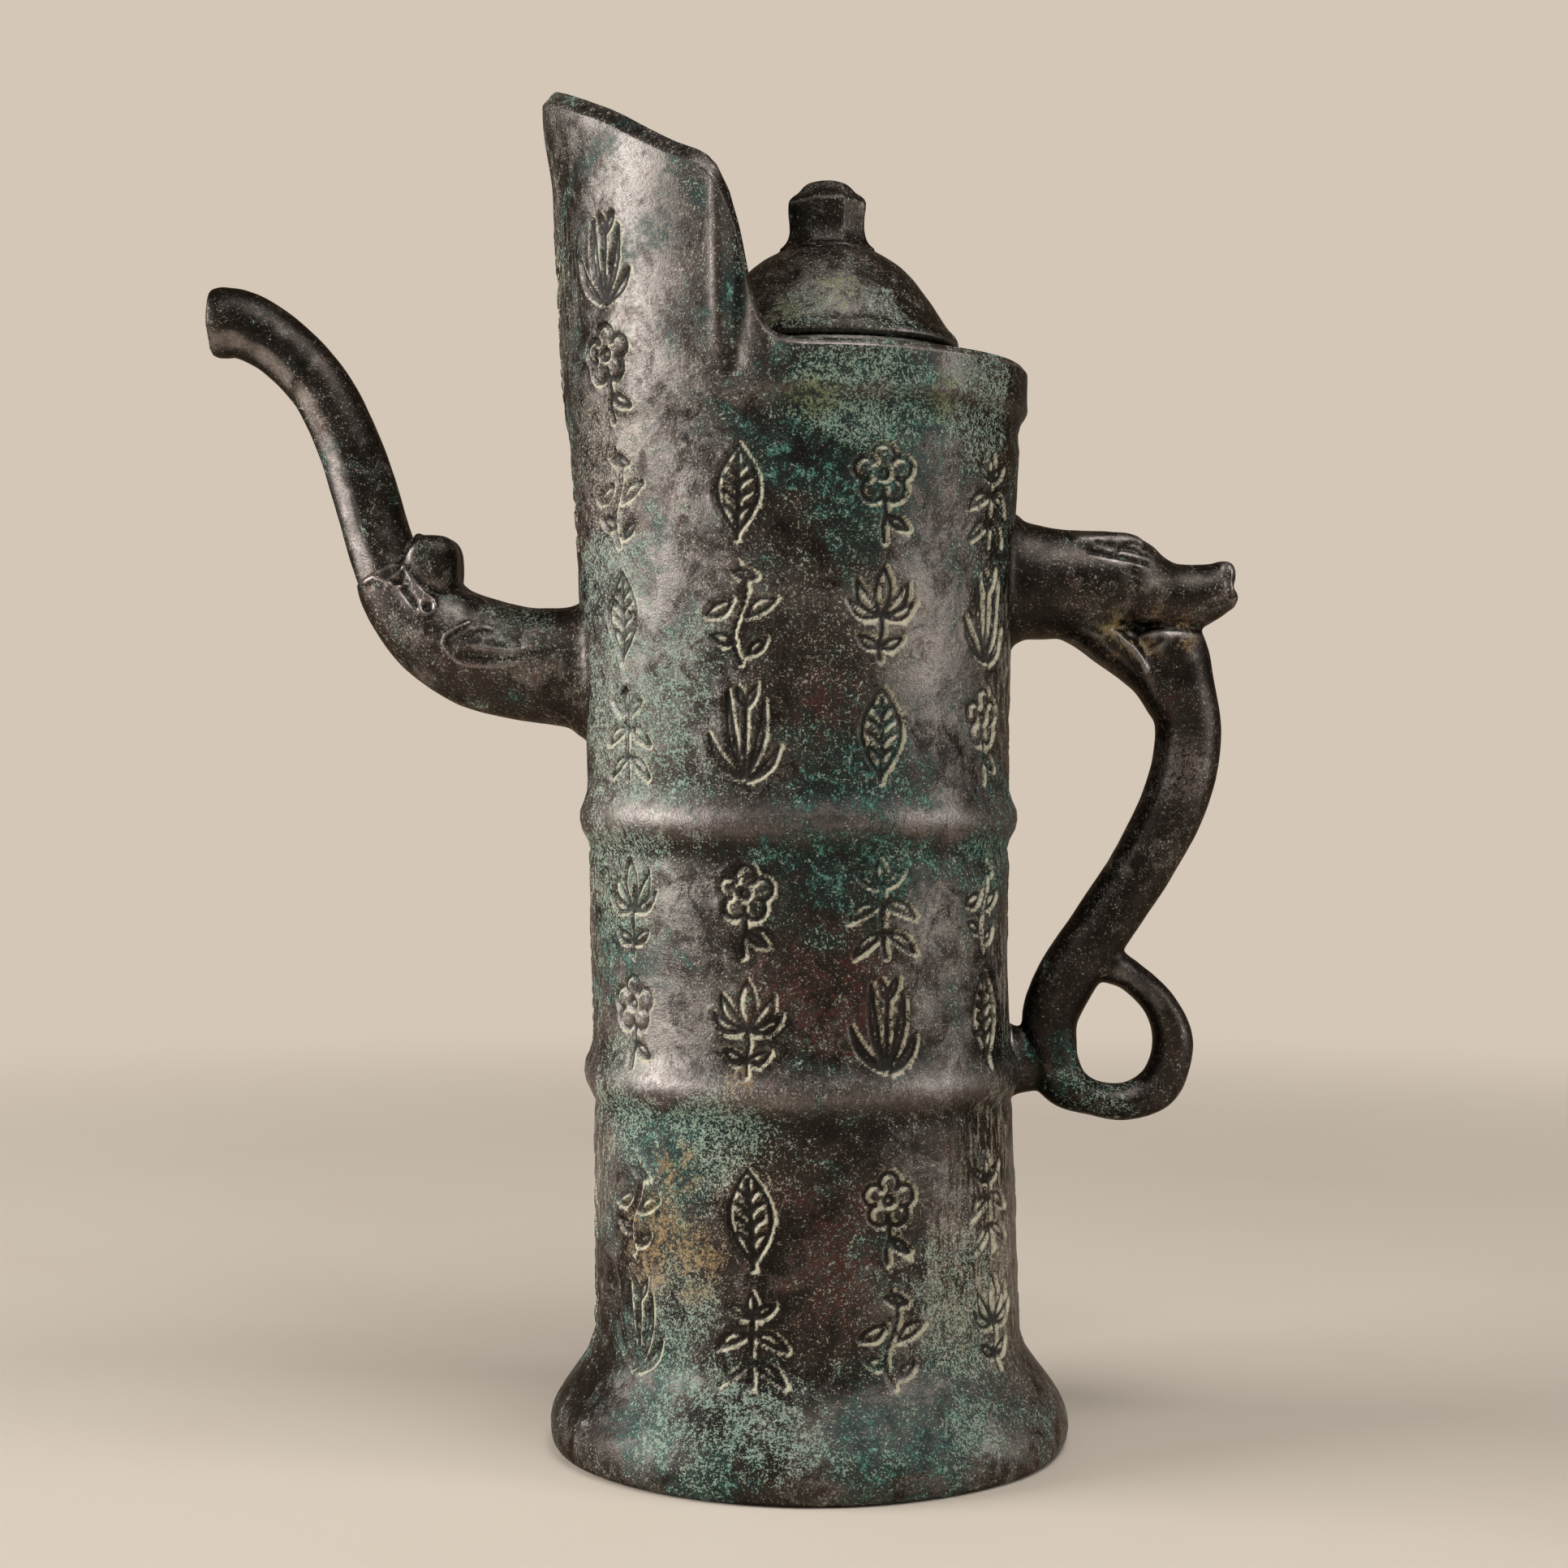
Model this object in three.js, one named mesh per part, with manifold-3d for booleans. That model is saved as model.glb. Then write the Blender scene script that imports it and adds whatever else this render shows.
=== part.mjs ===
import * as THREE from 'three';
import { mergeVertices } from 'three/addons/utils/BufferGeometryUtils.js';
import Module from 'manifold-3d';

// Bronze wine pot: a bamboo-jointed cylinder with a tall pouring shield, an elephant spout, a beast handle
// and a lift-off lid. Millimetres, +Z up, origin at the centre of the foot's underside.
// The spout points along -X and the handle along +X.

const wasm = await Module();
wasm.setup();

// Fits between separate pieces
const FIT_GAP = 0.3;
const LID_GAP = 0.4;

// Body casting
const RIM_HEIGHT = 222.5;
const BODY_LEAN = 3.1;
const WALL = 3.0;
const RIM_WALL = 5.0;
const EDGE_CHAMFER = 1.5;
const WAIST_RADIUS = 43.35;
const WAIST_HEIGHT = 92;
const LOWER_RADIUS = 44.6;
const LOWER_CURVE = 1.3;
const NECK_RADIUS = 46.8;
const UPPER_CURVE = 2.2;
const COLLAR_HEIGHT = 13.5;
const COLLAR_STAND = 1.55;
const BODY_SEGMENTS = 60;

// Flared foot
const FOOT_RADIUS = 54.2;
const FOOT_BAND_START = 5;
const FOOT_BAND_HEIGHT = 8.5;
const FOOT_HEIGHT = 24;
const FOOT_EDGE = 2.4;
const FOOT_WALL = 7.5;

// Bamboo node rings round the wall
const NODE_RINGS = [
  { height: 76.8, stand: 1.3, width: 15 },
  { height: 129.2, stand: 1.3, width: 15 },
];

// Pouring shield, on the spout's side of the rim
const SHIELD_RISE = 57.5;
const SHIELD_DROP = 20;
const SHIELD_CROWN_CURVE = 1.35;
const SHIELD_TURN = 67;
const SHIELD_END = 87;
const SHIELD_FLARE = 4.2;
const SHIELD_FLARE_CURVE = 0.6;
const SHIELD_LIP = 1.6;
const SHIELD_LIP_START = 22;
const SHIELD_LIP_END = 6;

// Base plate, let in flush with the foot
const BASE_RADIUS = 46;
const BASE_THICKNESS = 3;

// Mouth ring: a deck inside the rim with an off-centre collar for the lid
const LEDGE_DEPTH = 6.5;
const LEDGE_WIDTH = 3;
const LEDGE_THICKNESS = 3;
const DECK_THICKNESS = 3;
const MOUTH_OFFSET = 6.6;
const MOUTH_RADIUS = 23.5;
const MOUTH_WALL = 3;
const MOUTH_RISE = 7.6;

// Lid
const LID_SEGMENTS = 40;
const DOME_OVERHANG = 0.7;
const DOME_BAND = 1.6;
const DOME_HEIGHT = 22;
const DOME_WALL = 2.6;
const DOME_LINE = [[0.99, 0], [0.93, 0.12], [0.85, 0.29], [0.75, 0.51], [0.64, 0.73], [0.5, 0.89], [0.33, 1]];
const FLANGE_DEPTH = 8;
const FLANGE_WALL = 2;
const KNOB_RADIUS = 8.6;
const KNOB_FLARE = 0.7;
const KNOB_HEIGHT = 13.4;
const KNOB_CAP = 5.6;
const KNOB_SIDES = 8;
const TANG_RADIUS = 3;
const TANG_HEAD_RADIUS = 5;
const TANG_HEAD_HEIGHT = 1.6;

// Spout. A line's stations are shares: out of the reach from the wall, up of the rise from the root's centre,
// and half and side of the girth, which is the radius at the root.
const SPOUT_HEIGHT = 161;
const SPOUT_REACH = 76.6;
const SPOUT_RISE = 71.9;
const SPOUT_GIRTH = 12.6;
const TRUNK_GIRTH = 6.8;
const POUR_HOLE_RADIUS = 8;
const SPOUT_WALL = 3.4;
const TRUNK_WALL = 2.4;
const SPIGOT_LENGTH = 4;
const SPIGOT_WALL = 1.2;
const RUN_OUT = 3;
const TIP_STATIONS = 2;
const SPOUT_HEAD_LINE = [
  { out: -0.052, up: 0, half: 1.048, side: 1 },
  { out: 0.039, up: 0.003, half: 1, side: 0.952 },
  { out: 0.176, up: 0.013, half: 0.952, side: 0.905 },
  { out: 0.287, up: 0.04, half: 0.976, side: 0.921 },
  { out: 0.38, up: 0.088, half: 0.921, side: 0.905 },
  { out: 0.453, up: 0.156, half: 0.841, side: 0.825 },
  { out: 0.501, up: 0.22, half: 0.722, side: 0.714 },
  { out: 0.531, up: 0.289, half: 0.587, side: 0.587 },
];
const TRUNK_LINE = [
  { out: 0.531, up: 0.289, half: 1.029, side: 1.029 },
  { out: 0.561, up: 0.389, half: 1, side: 0.985 },
  { out: 0.599, up: 0.526, half: 1, side: 0.971 },
  { out: 0.641, up: 0.655, half: 0.971, side: 0.956 },
  { out: 0.715, up: 0.812, half: 0.941, side: 0.941 },
  { out: 0.83, up: 0.936, half: 0.971, side: 0.956 },
  { out: 0.922, up: 0.99, half: 1.029, side: 1 },
  { out: 0.992, up: 0.999, half: 1.074, side: 1.029 },
  { out: 1.013, up: 1, half: 0.912, side: 0.868 },
];
const FOREHEAD_OUT = 32.3;
const FOREHEAD_UP = 21.4;
const FOREHEAD_RADIUS = 6.4;
const FOREHEAD_SPREAD = 3.4;

// Handle. Its lines' stations are shares of the reach to the snout, of the drop to the tail and of a girth.
const HANDLE_HEIGHT = 179;
const HANDLE_REACH = 46.6;
const HANDLE_DROP = 108.5;
const HANDLE_GIRTH = 12.3;
const GRIP_GIRTH = 6.9;
const TENON_RADIUS = 4.8;
const TENON_LENGTH = 6;
const TENON_SHOULDER = 1.5;
const HANDLE_HEAD_LINE = [
  { out: -0.086, up: 0, half: 1.041, side: 1.008 },
  { out: 0.021, up: 0, half: 1, side: 0.976 },
  { out: 0.15, up: -0.005, half: 0.959, side: 0.919 },
  { out: 0.3, up: -0.006, half: 0.911, side: 0.894 },
  { out: 0.429, up: -0.007, half: 0.894, side: 0.927 },
  { out: 0.536, up: -0.001, half: 0.797, side: 0.894 },
  { out: 0.609, up: -0.018, half: 0.593, side: 0.764 },
  { out: 0.697, up: -0.026, half: 0.512, side: 0.65 },
  { out: 0.815, up: -0.023, half: 0.512, side: 0.602 },
  { out: 0.923, up: -0.012, half: 0.48, side: 0.569 },
  { out: 1, up: -0.008, half: 0.374, side: 0.439 },
];
const JAW_LINE = [
  { out: 0.215, up: -0.059, half: 0.407, side: 0.569 },
  { out: 0.33, up: -0.081, half: 0.431, side: 0.65 },
  { out: 0.442, up: -0.114, half: 0.423, side: 0.65 },
  { out: 0.562, up: -0.153, half: 0.374, side: 0.618 },
];
const GRIP_LINE = [
  { out: 0.67, up: -0.098, half: 1.246, side: 1.101 },
  { out: 0.717, up: -0.147, half: 1.116, side: 1.043 },
  { out: 0.742, up: -0.198, half: 1.087, side: 1.014 },
  { out: 0.785, up: -0.267, half: 1, side: 0.986 },
  { out: 0.775, up: -0.35, half: 1, side: 0.986 },
  { out: 0.708, up: -0.442, half: 1, side: 0.986 },
  { out: 0.577, up: -0.548, half: 0.957, side: 0.957 },
  { out: 0.41, up: -0.659, half: 0.942, side: 0.957 },
  { out: 0.249, up: -0.76, half: 0.928, side: 0.928 },
  { out: 0.172, up: -0.839, half: 0.855, side: 0.87 },
  { out: 0.18, up: -0.912, half: 0.768, side: 0.812 },
];
const LOOP_LINE = [
  { out: 0.172, up: -0.848, half: 0.696, side: 0.725 },
  { out: 0.18, up: -0.924, half: 0.812, side: 0.812 },
  { out: 0.245, up: -0.97, half: 0.71, side: 0.754 },
  { out: 0.376, up: -0.995, half: 0.536, side: 0.696 },
  { out: 0.524, up: -1, half: 0.58, side: 0.681 },
  { out: 0.665, up: -0.968, half: 0.652, side: 0.681 },
  { out: 0.721, up: -0.888, half: 0.623, side: 0.681 },
  { out: 0.67, up: -0.818, half: 0.522, side: 0.652 },
  { out: 0.539, up: -0.761, half: 0.478, side: 0.638 },
  { out: 0.416, up: -0.732, half: 0.609, side: 0.667 },
];
const LUG_DROP = 100;
const LUG_HEIGHT = 13;
const LUG_WIDTH = 9;
const LUG_REACH = 8;
const LUG_SUNK = 2;

// Cut ornament: upright columns of plants round the wall. A motif's strokes are straight graver's cuts from
// (x1, y1) to (x2, y2), as shares of its half height, with x along the wall and y up.
const COLUMN_COUNT = 10;
const COLUMN_START = -14.4;
const MOTIF_HEIGHT = 18;
const CUT_WIDTH = 1.5;
const CUT_DEPTH = 0.7;
const FOOT_MARGIN = 6;
const RING_MARGIN = 6;
const NECK_MARGIN = 4;
const SHIELD_ROW_RISE = 28.7;
const SPRIG = [
  [0, -0.95, 0, 0.95], [0.16, -0.5, 0.66, -0.9], [0.16, 0.1, 0.72, -0.16],
  [-0.16, -0.5, -0.66, -0.9], [-0.16, 0.1, -0.72, -0.16],
];
const BLOSSOM = [
  [0, 0.55, 0, 0.98], [0.14, 0.44, 0.54, 0.6], [0.1, 0.28, 0.34, -0.04],
  [-0.1, 0.28, -0.34, -0.04], [-0.14, 0.44, -0.54, 0.6], [0, 0.1, 0, -0.98],
];
const LEAF = [
  [0.08, -0.9, 0.46, 0.06], [0.46, 0.2, 0.08, 0.96], [-0.08, -0.9, -0.46, 0.06], [-0.46, 0.2, -0.08, 0.96],
];
const ORCHID = [
  [-0.1, -0.84, -0.7, -0.06], [-0.04, -0.7, -0.24, 0.8], [0.08, -0.72, 0.44, 0.6], [0.14, -0.92, 0.72, -0.3],
];
const LOTUS = [
  [0, -0.06, 0, -0.96], [0, 0.1, 0, 0.96], [0.14, 0.1, 0.56, 0.66], [-0.14, 0.1, -0.56, 0.66],
];
const VINE = [
  [-0.14, -0.96, 0.16, -0.1], [0.14, 0.06, -0.14, 0.96], [0.3, -0.1, 0.72, 0.2], [-0.16, 0.24, -0.62, 0.02],
];
const MOTIFS = [SPRIG, BLOSSOM, LEAF, ORCHID, LOTUS, VINE];

// Colours, as red, green and blue shares
const BRONZE_DARK = new THREE.Color(0.1, 0.085, 0.075);
const BRONZE_BODY = new THREE.Color(0.15, 0.125, 0.115);

function bronze(color, roughness) {
  return new THREE.MeshStandardMaterial({ color, roughness, metalness: 0.8 });
}

// Solids for joining and cutting. Slivers left by a cut, thinner than this, are merged away.
const SLIVER_SIZE = 0.01;

function toSolid(geometry) {
  const plain = geometry.clone();
  plain.deleteAttribute('normal');
  plain.deleteAttribute('uv');
  const welded = mergeVertices(plain, 1e-4);
  const corners = welded.index.array;
  const kept = [];
  for (let i = 0; i < corners.length; i += 3) {
    const [a, b, c] = [corners[i], corners[i + 1], corners[i + 2]];
    if (a !== b && b !== c && c !== a) {
      kept.push(a, b, c);
    }
  }
  const vertProperties = new Float32Array(welded.attributes.position.array);
  return new wasm.Manifold(new wasm.Mesh({ numProp: 3, vertProperties, triVerts: new Uint32Array(kept) }));
}

function toGeometry(solid) {
  const mesh = solid.simplify(SLIVER_SIZE).getMesh();
  const geometry = new THREE.BufferGeometry();
  geometry.setAttribute('position', new THREE.BufferAttribute(mesh.vertProperties, 3));
  geometry.setIndex(new THREE.BufferAttribute(mesh.triVerts, 1));
  return geometry;
}

// A lathe turned round +Z: points are [radius, height]
function turned(points, segments) {
  const profile = points.map(([radius, height]) => new THREE.Vector2(radius, height));
  const geometry = new THREE.LatheGeometry(profile, segments);
  geometry.rotateX(Math.PI / 2);
  return geometry;
}

function disc(radius, low, high, segments = BODY_SEGMENTS) {
  return turned([[0, low], [radius, low], [radius, high], [0, high]], segments);
}

function eased(value, low, high) {
  return THREE.MathUtils.smoothstep(value, low, high);
}

// The body's shape, as functions of height

const neckHeight = RIM_HEIGHT - COLLAR_HEIGHT;
const shieldHeight = RIM_HEIGHT + SHIELD_RISE;
const ledgeHeight = RIM_HEIGHT - LEDGE_DEPTH;
const deckTop = ledgeHeight + DECK_THICKNESS;
const seatRadius = NECK_RADIUS + COLLAR_STAND - RIM_WALL;

// The casting's axis drifts towards the spout as it rises
function axisShift(height) {
  return -BODY_LEAN * Math.sin((Math.PI / 2) * Math.min(height / RIM_HEIGHT, 1));
}

function plainRadius(height) {
  if (height < WAIST_HEIGHT) {
    const fall = 1 - height / WAIST_HEIGHT;
    return WAIST_RADIUS + (LOWER_RADIUS - WAIST_RADIUS) * Math.pow(fall, LOWER_CURVE);
  }
  const rise = Math.min((height - WAIST_HEIGHT) / (neckHeight - WAIST_HEIGHT), 1);
  return WAIST_RADIUS + (NECK_RADIUS - WAIST_RADIUS) * Math.pow(rise, UPPER_CURVE);
}

function ringStand(height) {
  return NODE_RINGS.reduce((sum, ring) => {
    const away = Math.abs(height - ring.height) / (ring.width / 2);
    return sum + ring.stand * (1 - eased(away, 0.1, 1));
  }, 0);
}

function footStand(height) {
  const flare = FOOT_RADIUS - plainRadius(0);
  return flare * (1 - eased(height, FOOT_BAND_START, FOOT_HEIGHT));
}

function outerRadius(height) {
  return plainRadius(height) + ringStand(height) + footStand(height);
}

function innerRadius(height) {
  const foot = (FOOT_WALL - WALL) * (1 - eased(height, FOOT_BAND_HEIGHT, FOOT_HEIGHT));
  return plainRadius(height) + footStand(height) - WALL - foot;
}

// Where the wall's outside stands along the X axis: side is -1 at the spout and 1 at the handle
function wallX(height, side) {
  return axisShift(height) + side * outerRadius(height);
}

// Height of the rim and shield at an angle in degrees from the spout's direction
function topHeight(angle) {
  const drop = SHIELD_DROP * Math.pow(Math.min(angle / SHIELD_TURN, 1), SHIELD_CROWN_CURVE);
  return RIM_HEIGHT + (SHIELD_RISE - drop) * (1 - eased(angle, SHIELD_TURN, SHIELD_END));
}

function shieldStand(height, angle) {
  const share = Math.max(height - neckHeight, 0) / (shieldHeight - neckHeight);
  const flare = SHIELD_FLARE * Math.pow(share, SHIELD_FLARE_CURVE);
  const lip = SHIELD_LIP * eased(height, shieldHeight - SHIELD_LIP_START, shieldHeight - SHIELD_LIP_END);
  const front = Math.max(Math.cos(angle * Math.PI / 180), 0);
  return flare + lip * front * front;
}

// Radius of the outside above the neck: a raised collar on the handle's side and the flaring shield on the
// spout's
function upperRadius(share, height, angle) {
  const shielded = 1 - eased(angle, SHIELD_TURN, SHIELD_END);
  const collar = COLLAR_STAND * eased(share, ...COLLAR_SHOULDER);
  const shield = shieldStand(height, angle);
  return NECK_RADIUS + collar + (shield - collar) * shielded;
}

// Shares of a stretch's length at which the outline has a point
const COLLAR_SHOULDER = [0.15, 0.45];
const UPPER_SHARES = [0, 0.2, 0.33, 0.45, 0.6, 0.75, 0.86, 0.95];
const RING_SHARES = [-0.5, -0.24, 0, 0.24, 0.5];
const FLARE_SHARES = [0, 0.22, 0.43, 0.68, 1];
const WALL_SHARES = [0.36, 0.68];

function spread(shares, low, high) {
  return shares.map((share) => low + share * (high - low));
}

function ringHeights(ring) {
  return RING_SHARES.map((share) => ring.height + share * ring.width);
}

function wallHeights() {
  const [low, high] = NODE_RINGS;
  return [
    FOOT_EDGE,
    FOOT_BAND_START,
    ...spread(FLARE_SHARES, FOOT_BAND_HEIGHT, FOOT_HEIGHT),
    (FOOT_HEIGHT + low.height - low.width / 2) / 2,
    ...ringHeights(low),
    (low.height + high.height) / 2,
    ...ringHeights(high),
    ...spread(WALL_SHARES, high.height + high.width / 2, neckHeight),
  ];
}

// The body's closed outline, each point tagged with how the shield stretches it
function bodyOutline() {
  const recess = BASE_RADIUS + FIT_GAP;
  const outline = [
    { radius: recess, height: 0 },
    { radius: FOOT_RADIUS - FOOT_EDGE, height: 0 },
  ];
  for (const height of wallHeights()) {
    outline.push({ radius: outerRadius(height), height });
  }
  for (const share of UPPER_SHARES) {
    outline.push({ share, inset: 0 });
  }
  outline.push({ share: 1, inset: EDGE_CHAMFER });
  outline.push({ share: 1, inset: RIM_WALL - EDGE_CHAMFER });
  const deckShare = (deckTop - neckHeight) / COLLAR_HEIGHT;
  for (const share of spread([1, 0.4, 0], deckShare, UPPER_SHARES.at(-1))) {
    outline.push({ share, inset: RIM_WALL });
  }
  outline.push({ radius: seatRadius, height: ledgeHeight });
  outline.push({ radius: seatRadius - LEDGE_WIDTH, height: ledgeHeight });
  outline.push({ radius: seatRadius - LEDGE_WIDTH, height: ledgeHeight - LEDGE_THICKNESS });
  const innerTop = ledgeHeight - 2 * LEDGE_THICKNESS;
  for (const height of [...spread([1, 0.75, 0.45, 0.2, 0], FOOT_HEIGHT, innerTop), FOOT_BAND_HEIGHT]) {
    outline.push({ radius: innerRadius(height), height });
  }
  outline.push({ radius: innerRadius(BASE_THICKNESS), height: BASE_THICKNESS });
  outline.push({ radius: recess, height: BASE_THICKNESS });
  outline.push({ radius: recess, height: 0 });
  return outline;
}

// Turns the outline round the axis, then lifts, flares and leans each point by its angle from the spout
function bodyShell() {
  const outline = bodyOutline();
  const rows = outline.map((point, row) => [1, row]);
  const geometry = turned(rows, BODY_SEGMENTS);
  const place = geometry.attributes.position;
  for (let i = 0; i < place.count; i += 1) {
    const point = outline[Math.round(place.getZ(i))];
    const turn = Math.atan2(place.getY(i), place.getX(i));
    const angle = 180 - Math.abs(turn) * 180 / Math.PI;
    let { radius, height } = point;
    if (point.share !== undefined) {
      height = neckHeight + point.share * (topHeight(angle) - neckHeight);
      radius = upperRadius(point.share, height, angle) - point.inset;
    }
    place.setXYZ(i, axisShift(height) + radius * Math.cos(turn), radius * Math.sin(turn), height);
  }
  return geometry;
}

// A solid that follows a path in the XZ plane, with an oval section at each station.
// A station's half size lies in that plane and its side size lies along Y. A bore's section is turned by a
// share of one side, so that its edges don't run along those of the solid that it cuts.
function limb(path, origin, { sides, grow = 0, steps = 3, turn = 0 }) {
  const spots = path.map((at) => new THREE.Vector3(origin.x + origin.side * at.out, 0, origin.z + at.up));
  const sizes = path.map((at) => new THREE.Vector3(at.half + grow, at.side + grow, 0));
  const spine = new THREE.CatmullRomCurve3(spots);
  const girth = new THREE.CatmullRomCurve3(sizes);
  const rings = steps * (path.length - 1);
  const profile = [[0, 0]];
  for (let ring = 0; ring <= rings; ring += 1) {
    profile.push([1, ring / rings]);
  }
  profile.push([0, 1]);
  const geometry = turned(profile, sides);
  geometry.rotateZ(turn * 2 * Math.PI / sides);
  const place = geometry.attributes.position;
  for (let i = 0; i < place.count; i += 1) {
    const along = THREE.MathUtils.clamp(place.getZ(i), 0, 1);
    const centre = spine.getPoint(along);
    const heading = spine.getTangent(along);
    const size = girth.getPoint(along);
    const inPlane = place.getX(i) * size.x;
    const sideways = place.getY(i) * size.y;
    place.setXYZ(i, centre.x + heading.z * inPlane, sideways, centre.z - heading.x * inPlane);
  }
  return toSolid(geometry);
}

// The same path with both ends run on straight, for cutting clear through
function runOn(path, lengthBefore, lengthAfter) {
  const longer = [...path];
  const ends = [[path[0], path[1], lengthBefore], [path.at(-1), path.at(-2), lengthAfter]];
  ends.forEach(([end, next, length], index) => {
    if (length === 0) {
      return;
    }
    const span = Math.hypot(end.out - next.out, end.up - next.up);
    const extra = {
      ...end,
      out: end.out + (end.out - next.out) / span * length,
      up: end.up + (end.up - next.up) / span * length,
    };
    if (index === 0) {
      longer.unshift(extra);
    } else {
      longer.push(extra);
    }
  });
  return longer;
}

function ball(centre, radius, scale = [1, 1, 1]) {
  const geometry = new THREE.SphereGeometry(radius, 16, 12);
  geometry.scale(...scale);
  geometry.translate(centre.x, centre.y, centre.z);
  return toSolid(geometry);
}

// The body's outside grown by the fit, for cutting what is joined to the wall
function wallCutter(low, high) {
  const points = [[0, low]];
  for (const height of [low, ...wallHeights().filter((value) => value > low && value < high), high]) {
    points.push([outerRadius(height) + FIT_GAP, height]);
  }
  points.push([0, high]);
  const geometry = turned(points, BODY_SEGMENTS);
  const place = geometry.attributes.position;
  for (let i = 0; i < place.count; i += 1) {
    place.setX(i, place.getX(i) + axisShift(place.getZ(i)));
  }
  return toSolid(geometry);
}

// Pieces

function stations(line, reach, rise, girth) {
  return line.map((at) => ({
    out: at.out * reach,
    up: at.up * rise,
    half: at.half * girth,
    side: at.side * girth,
  }));
}

const headPath = stations(SPOUT_HEAD_LINE, SPOUT_REACH, SPOUT_RISE, SPOUT_GIRTH);
const trunkPath = stations(TRUNK_LINE, SPOUT_REACH, SPOUT_RISE, TRUNK_GIRTH);
const skullPath = stations(HANDLE_HEAD_LINE, HANDLE_REACH, HANDLE_DROP, HANDLE_GIRTH);
const jawPath = stations(JAW_LINE, HANDLE_REACH, HANDLE_DROP, HANDLE_GIRTH);
const shaftPath = stations(GRIP_LINE, HANDLE_REACH, HANDLE_DROP, GRIP_GIRTH);
const loopPath = stations(LOOP_LINE, HANDLE_REACH, HANDLE_DROP, GRIP_GIRTH);

const spoutRoot = { x: wallX(SPOUT_HEIGHT, -1), z: SPOUT_HEIGHT, side: -1 };
const handleRoot = { x: wallX(HANDLE_HEIGHT, 1), z: HANDLE_HEIGHT, side: 1 };
const mouthX = axisShift(RIM_HEIGHT) + MOUTH_OFFSET;
const domeRadius = MOUTH_RADIUS + MOUTH_WALL + DOME_OVERHANG;
const lidSeat = deckTop + MOUTH_RISE;

function outsideRadius(height, angle) {
  if (height <= neckHeight) {
    return outerRadius(height);
  }
  return upperRadius((height - neckHeight) / (topHeight(angle) - neckHeight), height, angle);
}

function rowsBetween(low, high, count) {
  return Array.from({ length: count }, (_, row) => low + (row + 0.5) * (high - low) / count);
}

function motifRows() {
  const [low, high] = NODE_RINGS;
  return [
    ...rowsBetween(FOOT_HEIGHT - FOOT_MARGIN, low.height - 2 * RING_MARGIN, 2),
    ...rowsBetween(low.height + RING_MARGIN / 3, high.height - RING_MARGIN, 2),
    ...rowsBetween(high.height + RING_MARGIN, neckHeight - NECK_MARGIN, 3),
    ...rowsBetween(neckHeight - NECK_MARGIN / 2, RIM_HEIGHT + SHIELD_ROW_RISE, 2),
  ];
}

// A graver's cut: deepest in its middle and pointed at both ends. Turn is in degrees from the front.
function graverCut(turn, height, [x1, y1, x2, y2]) {
  const half = MOTIF_HEIGHT / 2;
  const across = half * (x1 + x2) / 2;
  const up = height + half * (y1 + y2) / 2;
  const bearing = turn * Math.PI / 180 + across / WAIST_RADIUS;
  const radius = outsideRadius(up, Math.abs(bearing * 180 / Math.PI + 90));
  const geometry = new THREE.OctahedronGeometry(1);
  geometry.scale(half * Math.hypot(x2 - x1, y2 - y1) / 2, CUT_DEPTH, CUT_WIDTH / 2);
  geometry.rotateY(-Math.atan2(y2 - y1, x2 - x1));
  geometry.translate(0, -radius, up);
  geometry.rotateZ(bearing);
  geometry.translate(axisShift(up), 0, 0);
  return toSolid(geometry);
}

function motifCuts() {
  const joints = [
    { turn: -90, height: SPOUT_HEIGHT, reach: headPath[0].half },
    { turn: 90, height: HANDLE_HEIGHT, reach: skullPath[0].half },
    { turn: 90, height: HANDLE_HEIGHT - LUG_DROP, reach: LUG_HEIGHT / 2 },
  ];
  const cuts = [];
  for (let column = 0; column < COLUMN_COUNT; column += 1) {
    const turn = (COLUMN_START + 360 * column / COLUMN_COUNT + 180) % 360 - 180;
    motifRows().forEach((height, row) => {
      const free = joints.every((joint) => {
        const across = WAIST_RADIUS * (turn - joint.turn) * Math.PI / 180;
        return Math.hypot(across, height - joint.height) > joint.reach + MOTIF_HEIGHT / 2 + 1;
      });
      const shielded = Math.abs(turn + 90) < SHIELD_TURN - 20;
      if (free && (shielded || height < neckHeight)) {
        const motif = MOTIFS[(2 * row + 5 * column + Math.floor(row / 3)) % MOTIFS.length];
        cuts.push(...motif.map((stroke) => graverCut(turn, height, stroke)));
      }
    });
  }
  return cuts;
}

function makeBody() {
  const hole = new THREE.CylinderGeometry(POUR_HOLE_RADIUS, POUR_HOLE_RADIUS, 6 * WALL, 24);
  hole.rotateZ(Math.PI / 2);
  hole.translate(spoutRoot.x, 0, spoutRoot.z);
  const ornament = wasm.Manifold.union(motifCuts());
  return toGeometry(toSolid(bodyShell()).subtract(toSolid(hole)).subtract(ornament));
}

function makeBasePlate() {
  return disc(BASE_RADIUS, 0, BASE_THICKNESS);
}

function makeMouthRing() {
  const deck = disc(seatRadius - FIT_GAP, ledgeHeight, deckTop);
  deck.translate(axisShift(ledgeHeight), 0, 0);
  const collar = disc(MOUTH_RADIUS + MOUTH_WALL, ledgeHeight, lidSeat, LID_SEGMENTS);
  collar.translate(mouthX, 0, 0);
  const mouth = disc(MOUTH_RADIUS, ledgeHeight - 1, lidSeat + 1, LID_SEGMENTS);
  mouth.translate(mouthX, 0, 0);
  return toGeometry(toSolid(deck).add(toSolid(collar)).subtract(toSolid(mouth)));
}

function thinned(path, wall) {
  return path.map((at) => ({ ...at, half: at.half - wall, side: at.side - wall }));
}

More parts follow.
